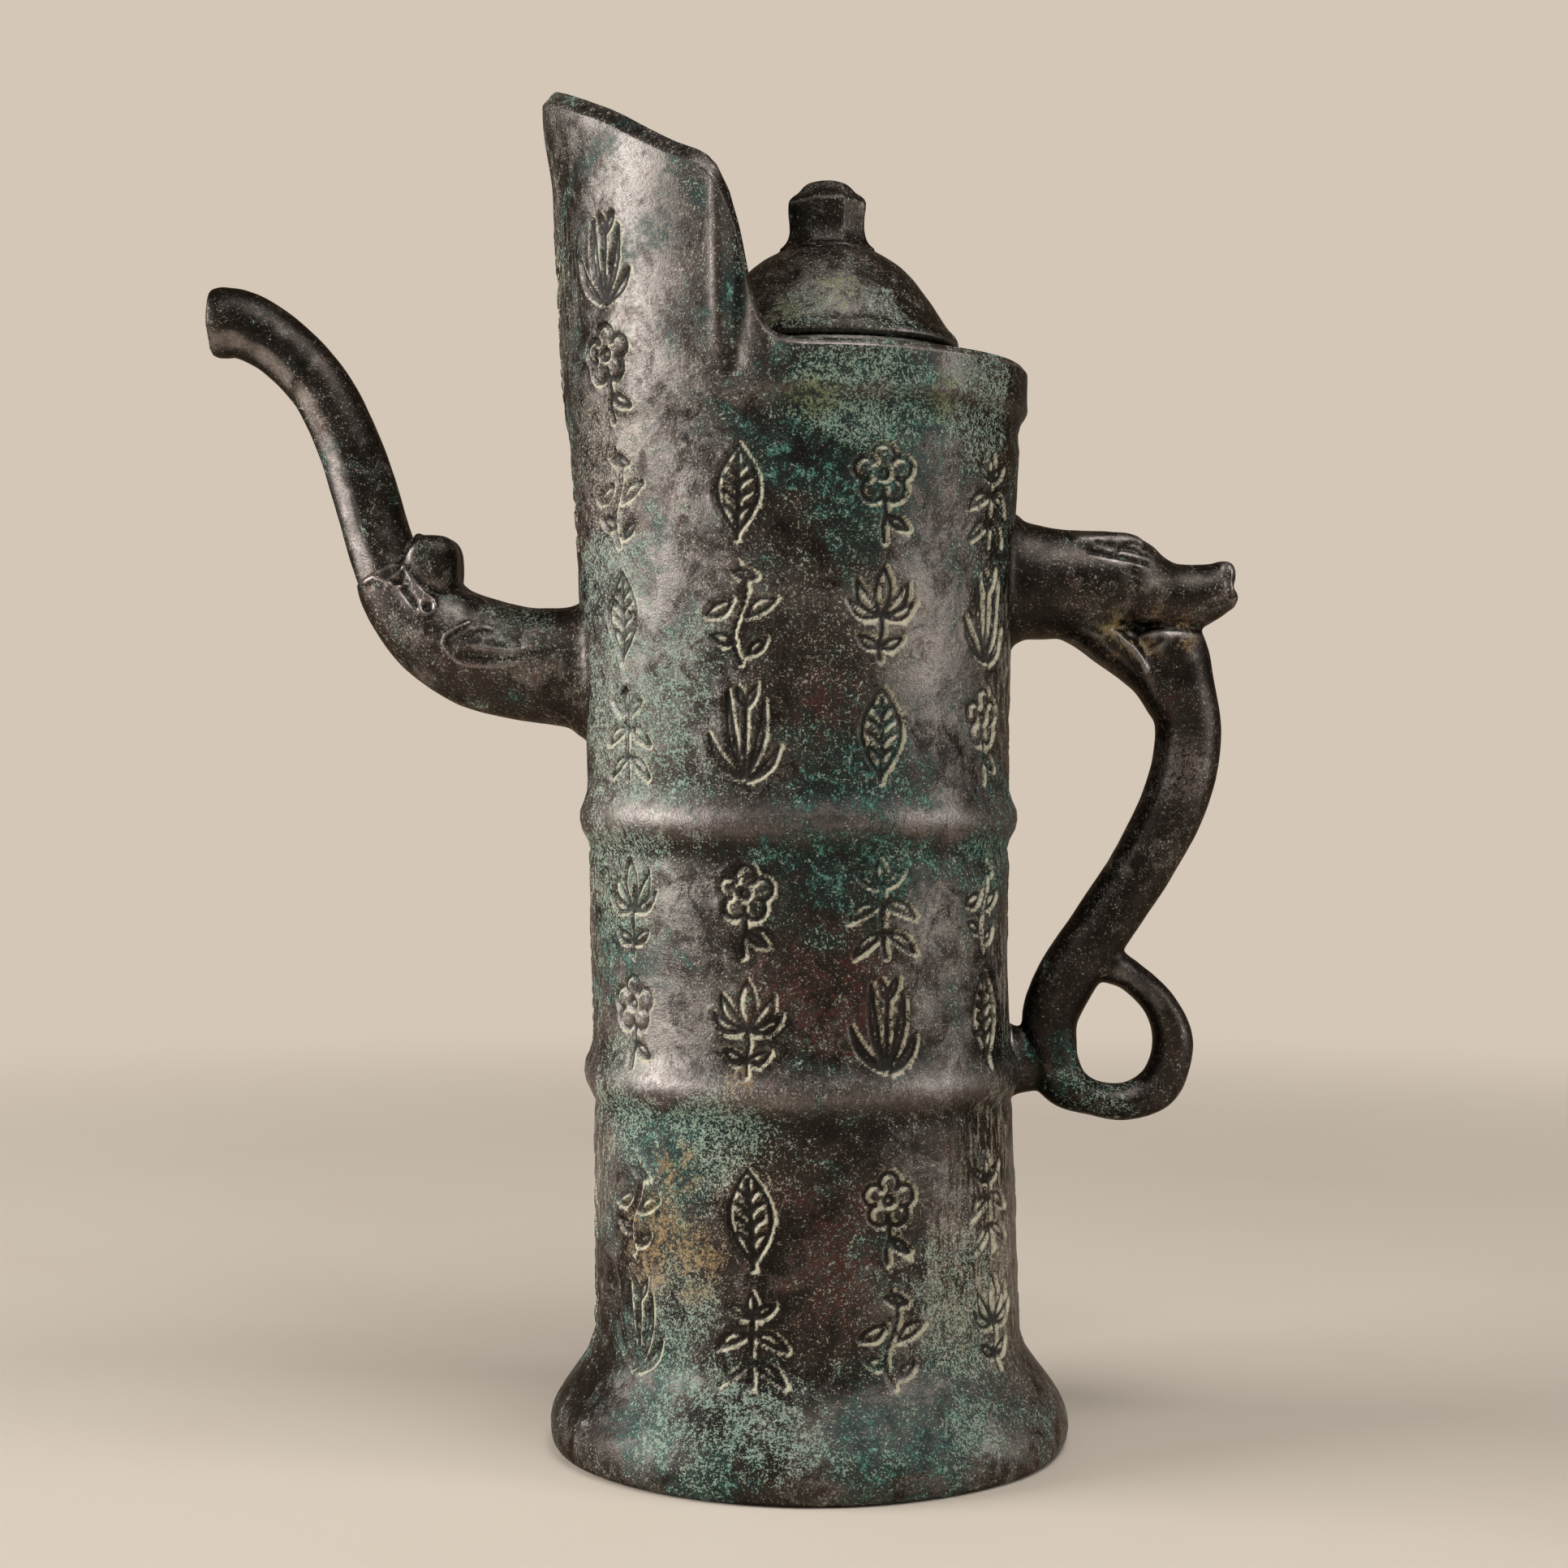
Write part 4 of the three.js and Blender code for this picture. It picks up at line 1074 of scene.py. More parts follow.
# %% Body relief
# Each wave is its size and its depth, and each band its place, its width and how far it stands out.
CAST_WAVES = [(24, 0.32), (9, 0.16), (3.2, 0.07)]
RING_BANDS = [(1.2, 2.6, 0.5), (-4.8, 1.5, -0.7)]
NECK_BANDS = [(208.4, 1.6, -0.5), (212.6, 1.5, 0.35)]
RIDGE_ANGLE = 71.5
LIP_ANGLE = 79.5
SIDE_BANDS = [(RIDGE_ANGLE, 1.6, 0.5), (LIP_ANGLE, 2.2, 1.0)]
SIDE_SPAN = (213, 228)
DIP_DEPTH = 2.9
DIP_IN = (RIDGE_ANGLE + 0.5, 76.5)
DIP_OUT = (82, 90)


def round_rings(bands):
    """The same bands at each bamboo ring, with their places counted from its middle."""
    return [(middle + place, width, stand) for middle in RING_MIDDLES for place, width, stand in bands]


unrolled = np.stack([radius * np.sin(around), -radius * np.cos(around), height], axis=1)
relief = sum(depth * undulation(unrolled, size, seed) for seed, (size, depth) in enumerate(CAST_WAVES, 1))
side_zone = eased(height, *SIDE_SPAN)
dip = eased(angle, *DIP_IN) * (1 - eased(angle, *DIP_OUT))
relief += humps(height, round_rings(RING_BANDS)) + (1 - shielded) * humps(height, NECK_BANDS)
relief += side_zone * (humps(angle, SIDE_BANDS) - DIP_DEPTH * dip)
print("relief from", round(relief.min(), 2), "to", round(relief.max(), 2), "mm")

# %% Graver's cuts
FAR_AWAY = 99.0
STROKE_ZONE = 90
LIGHT_WAY = (0.85, -0.5)
SOFT_WAVE = 18
CUT_FULLNESS = 0.8
LIP_MIDDLE = 1.05
LIP_WIDTH = 0.36
PALE_LIP_MIDDLE = 0.82
PALE_LIP_WIDTH = 0.32
INSIDE_SHARE = 0.25

away = np.full(len(height), FAR_AWAY)
lit_side = np.zeros(len(height))
off_across, off_up = stroke_offsets(turn[outside], height[outside])
away[outside] = np.hypot(off_across, off_up)
towards_light = LIGHT_WAY[0] * off_across + LIGHT_WAY[1] * off_up
lit_side[outside] = towards_light / np.maximum(away[outside], 0.05)
softness = 0.75 + 0.35 * undulation(unrolled, SOFT_WAVE, 5)
cut = np.exp(-(away / CUT_WIDTH) ** 2 * CUT_FULLNESS) * np.clip(softness, 0.45, 1.1)
# Pale lips beside each cut: real deposit on both lips, and more on the lip towards the light as a painted
# highlight.
deposit_and_highlight = hump(away, PALE_LIP_MIDDLE, PALE_LIP_WIDTH) * (0.35 + 0.65 * eased(lit_side, -0.4, 0.6))
relief += LIP_HEIGHT * hump(away, LIP_MIDDLE, LIP_WIDTH) - CUT_DEPTH * cut
radius = radius + np.where(outside, relief, INSIDE_SHARE * relief * (away > STROKE_ZONE))
places = [axis_shift(height) + radius * np.sin(around), -radius * np.cos(around), height]
set_corners(body_mesh, np.stack(places, axis=1))
reworked(body_mesh, lambda bm: bmesh.ops.recalc_face_normals(bm, faces=bm.faces[:]))
body_mesh.update()
print("deepest cut", round(CUT_DEPTH * cut.max(), 2), "mm")

# %% Body marks
WALL_HOLLOWS = [(24, 5, 0.55)]
NECK_HOLLOWS = [(207.5, 2.2, 0.7)]
RING_HOLLOWS = [(-5.4, 2.2, 0.9), (7.5, 1.8, 0.35)]
SIDE_HOLLOWS = [(75.2, 1.8, 0.9)]
CHAMFER_SHADE_AND_SALT = [(outside_rows - 3, 1.2, 0.8)]
NECK_RIDGES = [(213, 1.6, 0.25)]
RING_RIDGES = [(1.0, 2.8, 0.5)]
SIDE_RIDGES = [(RIDGE_ANGLE, 0.7, 0.9), (LIP_ANGLE, 0.8, 0.7)]
TOP_RIDGES = [(outside_rows - 4.5, 1.2, 1.0)]
TOP_RIDGE_SPAN = (70, 80)
CORNER_RIDGE = {"angle": (68.5, 2.5, 0.8), "row": (outside_rows - 4, 1.5, 1.0)}
CHAMFER_LINE = (outside_rows - 6.2, 0.3, 0.65)
INSIDE_HOLLOW = 0.3

# The hollow mark is painted shade, as the bronze stays darker there, and salts gather along it too.
hollow = humps(height, WALL_HOLLOWS + round_rings(RING_HOLLOWS))
hollow += (1 - shielded) * humps(height, NECK_HOLLOWS) + side_zone * humps(angle, SIDE_HOLLOWS)
hollow += shielded * humps(grid_row, CHAMFER_SHADE_AND_SALT)
ridge = humps(height, round_rings(RING_RIDGES)) + (1 - shielded) * humps(height, NECK_RIDGES)
ridge += side_zone * humps(angle, SIDE_RIDGES) + humps(grid_row, TOP_RIDGES) * eased(angle, *TOP_RIDGE_SPAN)
ridge += humps(angle, [CORNER_RIDGE["angle"]]) * humps(grid_row, [CORNER_RIDGE["row"]])
carved = np.maximum(cut, shielded * humps(grid_row, [CHAMFER_LINE]))
mark(body_mesh, "carved", np.where(outside, carved, 0))
mark(body_mesh, "edge", np.where(outside, deposit_and_highlight * np.clip(softness + 0.2, 0.3, 1), 0))
# The whole inside gets a share of this painted shade.
mark(body_mesh, "hollow", np.where(outside, hollow, INSIDE_HOLLOW))
mark(body_mesh, "ridge", np.where(outside, ridge, 0))
add_piece(body_mesh, "body", "pot", "body_bronze")

# %% [markdown]
# ## Limbs
#
# The spout, the head of the beast and the grip are limbs: an oval section that follows a bent path. A unit
# cylinder is spun once, and each of its rings is then carried to its station on a smooth curve. Each station
# is its distance out from the wall and up from the root, then half its height and half its width.

# %% Limb helpers
LUMP_SEGMENTS = (32, 20)


def curve_point(points, along):
    """A point and heading on a smooth curve through the points, with along from 0 to 1."""
    points = np.asarray(points, float)
    place = along * (len(points) - 1)
    index = min(int(place), len(points) - 2)
    share = place - index
    before = points[index - 1] if index > 0 else 2 * points[0] - points[1]
    after = points[index + 2] if index + 2 < len(points) else 2 * points[-1] - points[-2]
    here, there = points[index], points[index + 1]
    steps = ((before, here), (here, there), (there, after))
    last, span, coming = [max(np.linalg.norm(b - a), 1e-6) ** 0.5 for a, b in steps]
    start = (here - before) / last - (there - before) / (last + span) + (there - here) / span
    end = (there - here) / span - (after - here) / (span + coming) + (after - there) / coming
    start, end = start * span, end * span
    square, cube = share ** 2, share ** 3
    point = (2 * cube - 3 * square + 1) * here + (cube - 2 * square + share) * start
    point = point + (3 * square - 2 * cube) * there + (cube - square) * end
    heading = (6 * square - 6 * share) * (here - there) + (3 * square - 4 * share + 1) * start
    heading = heading + (3 * square - 2 * share) * end
    return point, heading


def limb_rows(rings, bore):
    """A limb's outline, as shares of its section and of its length. A bore is lined from tip to root."""
    rows = [(1.0, i / rings) for i in range(rings + 1)]
    if not bore:
        return [(0.0, 0.0), (0.5, 0.0)] + rows + [(0.5, 1.0), (0.0, 1.0)]
    rows += [(1 - (1 - bore) * 0.5, 1.0), (bore, 1 - 0.5 / rings)]
    return rows + [(bore, share) for share in np.linspace(1 - 2 / rings, 0, rings // 2)]


def limb(path, root, pitch, around, bore=0.0, crest=None, facet=None):
    """A closed limb along the path.

    Root is (x, height, side), and bore is the share of the section left open. A crest is a rounded ridge
    along the limb and a facet a flat along it, each on the near side and on the far one.
    """
    side = root[2]
    spine = [(root[0] + side * out, root[1] + up) for out, up, *_ in path]
    sizes = [station[2:] for station in path]
    length = sum(math.dist(a, b) for a, b in zip(spine, spine[1:]))
    bm = spun(limb_rows(max(8, int(length / pitch)), bore), around, closed=bool(bore))
    bmesh.ops.remove_doubles(bm, verts=bm.verts[:], dist=1e-5)
    stations = {}
    for vert in bm.verts:
        along = min(max(vert.co.z, 0.0), 1.0)
        key = round(along, 6)
        if key not in stations:
            centre, heading = curve_point(spine, along)
            stations[key] = centre, heading / np.linalg.norm(heading), curve_point(sizes, along)[0]
        centre, heading, size = stations[key]
        swell = 1.0
        turn = abs(math.degrees(math.atan2(vert.co.y, vert.co.x)))
        if crest:
            place, height, width = crest
            swell = 1 + height * math.exp(-(((turn - place) / width) ** 2))
        if facet and abs(turn - facet[0]) < facet[1]:
            swell = math.cos(math.radians(facet[1])) / math.cos(math.radians(turn - facet[0]))
        up = vert.co.x * size[0] * swell
        vert.co = (centre[0] - heading[1] * up, vert.co.y * size[1] * swell, centre[1] + heading[0] * up)
    bmesh.ops.recalc_face_normals(bm, faces=bm.faces[:])
    return bm


def lump(centre, radii, boxy=1.0):
    """A ball stretched to the radii. Boxy below 1 squares its corners."""
    bm = bmesh.new()
    bmesh.ops.create_uvsphere(bm, u_segments=LUMP_SEGMENTS[0], v_segments=LUMP_SEGMENTS[1], radius=1)
    for vert in bm.verts:
        shaped = [math.copysign(abs(value) ** boxy, value) for value in vert.co]
        vert.co = [middle + radius * value for middle, radius, value in zip(centre, radii, shaped)]
    return bm


def lump_pair(centre, radii, boxy=1.0):
    """The same lump on the near side and on the far one."""
    x, y, z = centre
    return [lump((x, sign * y, z), radii, boxy) for sign in (1, -1)]


def fused(parts, voxel, rounds):
    """One smooth skin over overlapping closed forms."""
    whole = bmesh.new()
    for part in parts:
        held = mesh_from(part, "part")
        whole.from_mesh(held)
        bpy.data.meshes.remove(held)
    clay = scene_object("clay", mesh_from(whole, "clay"))
    skin = clay.modifiers.new("skin", "REMESH")
    skin.mode = "VOXEL"
    skin.voxel_size = voxel
    mesh = bpy.data.meshes.new_from_object(clay.evaluated_get(bpy.context.evaluated_depsgraph_get()))
    bpy.data.objects.remove(clay)
    every_way = {"use_axis_x": True, "use_axis_y": True, "use_axis_z": True}

    def smoothed(bm):
        for _ in range(rounds):
            bmesh.ops.smooth_vert(bm, verts=bm.verts[:], factor=0.5, **every_way)

    return reworked(mesh, smoothed)


print("limb helpers ready")

# %% [markdown]
# ## Chasing
#
# Eyes, ears and creases are chased into the cast forms with small tools. Each is drawn on the side view as a
# line, in millimetres across and up, with a width and a height: raised where the height is positive and cut
# where it isn't. Both cheeks get the same drawing, as on the real pot.

# %% Chasing helpers
CHEEK_FACING = (0.12, 0.45)
DARKEST_CUT = 0.6
SKIN_WAVES = (9, 3)
NEAR_ROUNDS = 12
FAR_ROUNDS = 60
DIP_OF_FULL_MARK = 0.2
LEAST_RISE = 0.03
CUT_DARKENING = 0.6


def drawn_distance(places, line):
    """Distance from each place, seen from the side, to a line drawn there."""
    flat = places[:, [0, 2]]
    best = np.full(len(places), 1e9)
    for start, end in zip(np.array(line, float), np.array(line[1:], float)):
        along = end - start
        share = np.clip(((flat - start) @ along) / (along @ along), 0, 1)
        best = np.minimum(best, np.linalg.norm(flat - start - share[:, None] * along, axis=1))
    return best


def drawn_inside(places, outline):
    """True for each place that lies inside a closed outline, seen from the side."""
    x, z = places[:, 0], places[:, 2]
    inside = np.zeros(len(places), bool)
    for (x1, z1), (x2, z2) in zip(outline, outline[1:] + outline[:1]):
        if z1 != z2:
            crosses = ((z1 > z) != (z2 > z)) & (x < (x2 - x1) * (z - z1) / (z2 - z1) + x1)
            inside ^= crosses
    return inside


def chase(mesh, lines, plates, pits, seed, roughness=0.12):
    """Raises or cuts the drawn lines, plates and pits, roughens the skin and marks its lows and highs."""
    places, normals = corners(mesh), corners(mesh, "normal")
    sideways = eased(np.abs(normals[:, 1]), *CHEEK_FACING)
    lift = np.zeros(len(places))
    cut = np.zeros(len(places))
    for line, width, height in lines:
        stroke = np.exp(-(drawn_distance(places, line) / width) ** 2)
        lift += height * stroke * sideways
        if height < 0:
            cut = np.maximum(cut, stroke * sideways * min(1, -height / DARKEST_CUT))
    for outline, height, soft in plates:
        edge = drawn_distance(places, outline + outline[:1])
        depth = np.where(drawn_inside(places, outline), eased(edge, 0, soft), 0)
        lift += height * depth * sideways
    for centre, radius, height in pits:
        away = np.linalg.norm(places[:, [0, 2]] - np.array(centre), axis=1)
        lift += height * np.exp(-(away / radius) ** 2) * sideways
    broad, fine = SKIN_WAVES
    lift += roughness * (undulation(places, broad, seed) + 0.5 * undulation(places, fine, seed + 1))
    places = places + normals * lift[:, None]
    set_corners(mesh, places)
    blurred = neighbour_mean(mesh, places, NEAR_ROUNDS)
    low = np.sum((blurred - places) * corners(mesh, "normal"), axis=1)
    dip = low - neighbour_mean(mesh, low, FAR_ROUNDS)
    # Cut lines are marked carved, which the bronze paints near black, the more the deeper the cut.
    mark(mesh, "carved", CUT_DARKENING * cut)
    # Lows are marked hollow, where the bronze is painted darker as shade and salts gather.
    mark(mesh, "hollow", dip / DIP_OF_FULL_MARK)
    mark(mesh, "ridge", (-dip - LEAST_RISE) / DIP_OF_FULL_MARK)


print("chasing helpers ready")

# %% [markdown]
# ## The elephant spout
#
# Wine leaves through the raised trunk. The head is a bent limb with a high double forehead fused to it, and
# fused skins keep the soft joints of a wax model. The trunk is a plain tube with an open tip, so it needs no
# fusing: its rings are turned with the hole down the middle.

# %% Elephant head
SPOUT_ROOT = (-47.24, 161.0, -1)
HEAD_PATH = [
    (-2.9, 0.0, 18.2, 15.6),
    (-2.3, 0.0, 17.3, 14.1),
    (-1.4, 0.0, 16.2, 12.9),
    (-0.6, 0.0, 15.3, 12.3),
    (0.2, 0.0, 14.5, 12.0),
    (1.4, 0.05, 13.3, 11.8),
    (3.0, 0.1, 12.6, 11.7),
    (6.5, 0.3, 12.2, 11.7),
    (13.5, 1.0, 11.8, 11.4),
    (22.0, 3.2, 11.7, 11.5),
    (29.1, 6.9, 10.9, 11.2),
    (34.7, 11.9, 9.8, 10.2),
    (38.3, 16.2, 8.7, 8.9),
    (40.7, 20.8, 7.5, 7.5),
]
HEAD_VOXEL = 0.45
HEAD_ROUNDS = 14
head_forms = [
    limb(HEAD_PATH, SPOUT_ROOT, 1.2, 48),
    *lump_pair((-78.5, 3.0, 181.4), (5.9, 6.3, 7.0), 0.66),
    lump((-84.2, 0, 179.4), (3.2, 7.2, 3.0), 0.9),
    lump((-76.0, 0, 174.8), (6.0, 8.4, 4.6)),
    lump((-81.4, -1.5, 187.9), (1.3, 1.3, 1.3)),
]
elephant_mesh = fused(head_forms, HEAD_VOXEL, HEAD_ROUNDS)
print("elephant head", len(elephant_mesh.vertices), "vertices")

# %% Elephant face
ELEPHANT_EAR = [
    (-66.0, 170.3), (-70.0, 169.9), (-72.5, 168.7), (-74.6, 167.3), (-75.1, 165.6), (-74.0, 163.6),
    (-72.2, 161.9), (-70.0, 161.1), (-64.4, 160.9), (-59.0, 161.8), (-56.0, 164.4), (-58.4, 167.0),
]
ELEPHANT_LINES = [
    ([(-91.9, 178.4), (-90.1, 179.3), (-87.9, 178.6), (-86.6, 177.8), (-85.3, 179.6), (-83.5, 181.4)],
     0.42, 0.4),
    ([(-91.7, 177.3), (-89.8, 178.1), (-88.0, 177.4)], 0.5, -0.3),
    ([(-83.5, 181.4), (-82.2, 179.4), (-81.0, 177.6), (-79.2, 176.0), (-77.2, 174.7), (-76.7, 173.0)],
     0.42, 0.45),
    ([(-84.9, 182.9), (-83.6, 184.7), (-82.0, 187.0)], 0.7, -0.5),
    ([(-82.2, 181.0), (-80.4, 178.4), (-77.8, 176.6), (-75.6, 175.8)], 0.9, -0.35),
    ([(-83.2, 176.9), (-82.0, 175.3), (-80.9, 173.9)], 0.8, -1.2),
    ([(-85.8, 178.5), (-84.0, 178.4)], 0.5, -1.0),
    (ELEPHANT_EAR[1:10], 0.45, 0.42),
    ([(-68.9, 164.9), (-65.4, 164.4), (-61.8, 164.0), (-58.8, 164.3)], 0.42, 0.3),
    ([(-70.6, 166.6), (-67.9, 168.0), (-63.7, 167.6), (-60.0, 166.0)], 0.8, -0.3),
    ([(-71.0, 163.6), (-66.5, 162.7), (-61.0, 162.6)], 0.8, -0.35),
    ([(-68.0, 175.6), (-66.4, 173.9), (-65.1, 172.0)], 0.5, 0.35),
]
EYE = (-78.5, 173.2)
EYE_RIM = 1.55
ELEPHANT_LINES.append((arc(EYE, EYE_RIM, 0, 360, 16), 0.38, 0.4))
ELEPHANT_PITS = [(EYE, 0.8, -1.1), ((-79.2, 158.9), 2.5, 0.2)]
chase(elephant_mesh, ELEPHANT_LINES, [(ELEPHANT_EAR, 0.4, 1.8)], ELEPHANT_PITS, seed=11)
add_piece(elephant_mesh, "spout_head", "pot", "fitting_bronze")

# %% Elephant trunk
TRUNK_PATH = [
    (38.6, 15.4, 6.6, 6.6),
    (40.7, 20.8, 7.0, 7.0),
    (43.0, 28.0, 6.8, 6.7),
    (45.9, 37.8, 6.8, 6.6),
    (49.1, 47.1, 6.6, 6.5),
    (54.8, 58.4, 6.4, 6.4),
    (63.6, 67.3, 6.6, 6.5),
    (70.6, 71.2, 7.0, 6.8),
    (75.0, 71.8, 7.3, 7.0),
    (76.7, 71.9, 6.9, 6.6),
    (77.3, 71.9, 6.2, 5.9),
]
TRUNK_BORE = 0.64
TRUNK_FACET = (50, 27)
TRUNK_SEAM = [
    (-99.5, 232.0), (-104.5, 224.5), (-107.5, 217.0), (-104.0, 208.0), (-99.0, 196.0), (-95.5, 184.0),
]
trunk_mesh = mesh_from(limb(TRUNK_PATH, SPOUT_ROOT, 0.8, 64, TRUNK_BORE, facet=TRUNK_FACET), "trunk")
chase(trunk_mesh, [(TRUNK_SEAM, 0.8, -0.25)], [], [], seed=13, roughness=0.16)
add_piece(trunk_mesh, "spout_trunk", "pot", "fitting_bronze")

# %% [markdown]
# ## The beast handle
#
# A beast's head grows out of the wall and holds the grip in its mouth. The grip swings down in one long S
# and curls into a ring at its tail, where a short lug joins it to the wall. Both are fused as one skin, so
# that the jaw runs softly into the grip as on the casting, and then parted along the mouth.

# %% Beast head and grip
HANDLE_ROOT = (42.2, 179.0, 1)
SKULL_PATH = [
    (-2.9, 0.0, 17.6, 15.2),
    (-2.2, 0.0, 16.8, 13.6),
    (-1.4, 0.0, 15.7, 12.5),
    (-0.6, 0.0, 14.9, 11.9),
    (0.2, 0.0, 14.1, 11.6),
    (1.4, -0.05, 12.9, 11.4),
    (3.0, -0.1, 12.2, 11.3),
    (7.0, -0.5, 11.7, 11.3),
    (14.0, -0.7, 11.2, 11.0),
    (20.0, -0.6, 11.0, 11.4),
    (24.5, -0.9, 10.0, 11.0),
    (28.4, -2.3, 8.1, 9.4),
    (32.5, -3.4, 7.3, 8.1),
    (37.0, -3.3, 7.0, 7.5),
    (40.5, -2.4, 6.2, 6.9),
    (43.0, -1.6, 5.5, 6.3),
    (45.4, -1.1, 4.6, 5.2),
]
JAW_PATH = [
    (8.0, -5.4, 5.0, 7.0),
    (15.4, -8.8, 5.5, 8.0),
    (20.6, -12.6, 5.4, 8.0),
    (26.0, -17.2, 4.8, 7.6),
    (29.2, -21.0, 4.2, 6.6),
    (31.2, -25.5, 3.4, 5.6),
    (33.4, -30.0, 2.6, 4.6),
]
GRIP_PATH = [
    (30.4, -9.6, 6.6, 6.0),
    (31.4, -12.4, 8.1, 7.2),
    (33.4, -15.9, 7.7, 7.2),
    (34.6, -21.5, 7.5, 7.0),
    (36.6, -29.0, 6.9, 6.8),
    (36.1, -38.0, 6.9, 6.8),
    (33.0, -48.0, 6.9, 6.8),
    (26.9, -59.5, 6.6, 6.6),
    (19.1, -71.5, 6.5, 6.6),
    (11.6, -82.5, 6.4, 6.4),
    (8.0, -91.0, 5.9, 6.0),
    (8.4, -99.0, 5.3, 5.6),
]
LOOP_PATH = [
    (8.0, -92.0, 4.8, 5.0),
    (8.4, -100.3, 5.6, 5.6),
    (11.4, -105.2, 4.9, 5.2),
    (17.5, -108.0, 3.7, 4.8),
    (24.4, -108.5, 4.0, 4.7),
    (31.0, -105.0, 4.5, 4.7),
    (33.6, -96.3, 4.3, 4.7),
    (31.2, -88.8, 3.6, 4.5),
    (25.1, -82.6, 3.3, 4.4),
    (19.4, -79.4, 4.2, 4.6),
]
LUG_PATH = [
    (-1.0, -100.0, 8.4, 6.4),
    (0.8, -100.0, 7.2, 5.4),
    (3.5, -100.0, 6.5, 4.6),
    (7.0, -99.5, 6.3, 4.4),
]
GRIP_CREST = (128, 0.045, 14)
HANDLE_VOXEL = 0.5
HANDLE_ROUNDS = 8
handle_forms = [
    limb(SKULL_PATH, HANDLE_ROOT, 1.2, 48),
    limb(JAW_PATH, HANDLE_ROOT, 1.2, 40),
    lump((86.0, 0, 180.3), (2.7, 5.0, 3.0), 0.8),
    lump((85.5, 0, 175.6), (3.8, 4.8, 2.2), 0.85),
    *lump_pair((60.5, 4.4, 184.9), (8.9, 4.6, 4.0), 0.68),
    limb(GRIP_PATH, HANDLE_ROOT, 1.2, 44, crest=GRIP_CREST),
    limb(LOOP_PATH, HANDLE_ROOT, 1.0, 36),
    limb(LUG_PATH, HANDLE_ROOT, 1.0, 36),
]
handle_mesh = fused(handle_forms, HANDLE_VOXEL, HANDLE_ROUNDS)
print("handle", len(handle_mesh.vertices), "vertices")

# %% Beast face
HANDLE_LINES = [
    ([(57.3, 184.7), (61.1, 183.8), (65.0, 183.0), (69.4, 182.0)], 0.45, -0.55),
    ([(58.8, 186.4), (62.6, 185.5), (66.4, 184.7), (69.8, 184.0)], 0.4, -0.35),
    ([(61.5, 183.6), (64.2, 185.8), (66.8, 186.6), (69.0, 185.6)], 0.4, -0.35),
    ([(62.5, 168.7), (67.3, 169.3), (71.9, 169.3), (76.5, 169.1), (80.5, 169.2)], 0.8, -0.4),
    ([(62.2, 168.5), (64.2, 166.5), (66.5, 164.7), (68.0, 162.7), (69.1, 160.4)], 0.55, 0.6),
    ([(61.2, 166.6), (63.6, 164.4), (66.0, 162.2), (67.6, 160.0)], 0.8, -0.25),
    ([(86.3, 182.0), (86.6, 179.1), (86.6, 176.9), (87.2, 175.2)], 0.5, -0.3),
    ([(82.0, 173.4), (84.4, 173.9), (86.6, 174.8), (88.4, 175.6)], 0.45, -0.35),
    ([(66.6, 180.6), (66.8, 177.8), (67.2, 174.6)], 1.3, -0.25),
    ([(53.4, 178.6), (55.0, 180.0), (56.6, 178.6), (55.4, 176.4)], 0.6, -0.2),
    ([(58.1, 168.8), (59.6, 168.1), (61.1, 168.8)], 0.4, -0.3),
]
BEAST_MOUTH = [
    (63.4, 168.4), (67.0, 168.8), (73.0, 168.1), (74.0, 166.4), (71.0, 163.4), (69.0, 162.0), (66.6, 165.0),
]
BEAST_PITS = [((66.0, 180.2), 1.3, -0.35), ((69.3, 177.4), 2.4, 0.4), ((78.0, 163.0), 3.0, 0.35)]
chase(handle_mesh, HANDLE_LINES, [(BEAST_MOUTH, -0.6, 2.2)], BEAST_PITS, seed=17, roughness=0.13)
print(len(HANDLE_LINES), "lines on each cheek")

# %% Head and grip parted
MOUTH_CORNER = Vector((62.3, 0, 168.5))
JAW_TIP = Vector((72.6, 0, 150.5))
mouth_side = Vector((0, 0, 1))
jaw_side = Vector((MOUTH_CORNER.z - JAW_TIP.z, 0, JAW_TIP.x - MOUTH_CORNER.x)).normalized()
CUT_PLANES = [(MOUTH_CORNER, mouth_side), (MOUTH_CORNER, jaw_side), (JAW_TIP, mouth_side)]


def in_head(point):
    """True above the mouth line, and left of the jaw's line down to the jaw's tip."""
    if point.z > MOUTH_CORNER.z:
        return True
    return point.z > JAW_TIP.z and (point - MOUTH_CORNER).dot(jaw_side) < 0


def parted(mesh, keeps_head):
    """The half of the handle on one side of the mouth, with its cut faces closed."""
    bm = bmesh.new()
    bm.from_mesh(mesh)
    for place, normal in CUT_PLANES:
        whole = bm.verts[:] + bm.edges[:] + bm.faces[:]
        bmesh.ops.bisect_plane(bm, geom=whole, plane_co=place, plane_no=normal)
    gone = [face for face in bm.faces if in_head(face.calc_center_median()) != keeps_head]
    bmesh.ops.delete(bm, geom=gone, context="FACES")
    bmesh.ops.holes_fill(bm, edges=[edge for edge in bm.edges if edge.is_boundary], sides=0)
    bmesh.ops.triangulate(bm, faces=[face for face in bm.faces if len(face.verts) > 4])
    return mesh_from(bm, "parted")


add_piece(parted(handle_mesh, True), "handle_head", "pot", "fitting_bronze")
add_piece(parted(handle_mesh, False), "handle_grip", "pot", "fitting_bronze")

# %% [markdown]
# ## Lid, mouth ring and base plate
#
# The lid is a turned dome with an eight-sided knob and a flange that drops into the mouth. The mouth ring is
# a flat deck inside the rim with a collar that stands off its centre. All are rings stacked on each other,
# so each ring is given by its own centre, radius and height, and the grid between them is one spin.

# %% Stacked rings
KNOB_SIDES = 8
FACET_START = (1, 6)
CAST_WAVES = (12, 3.5)


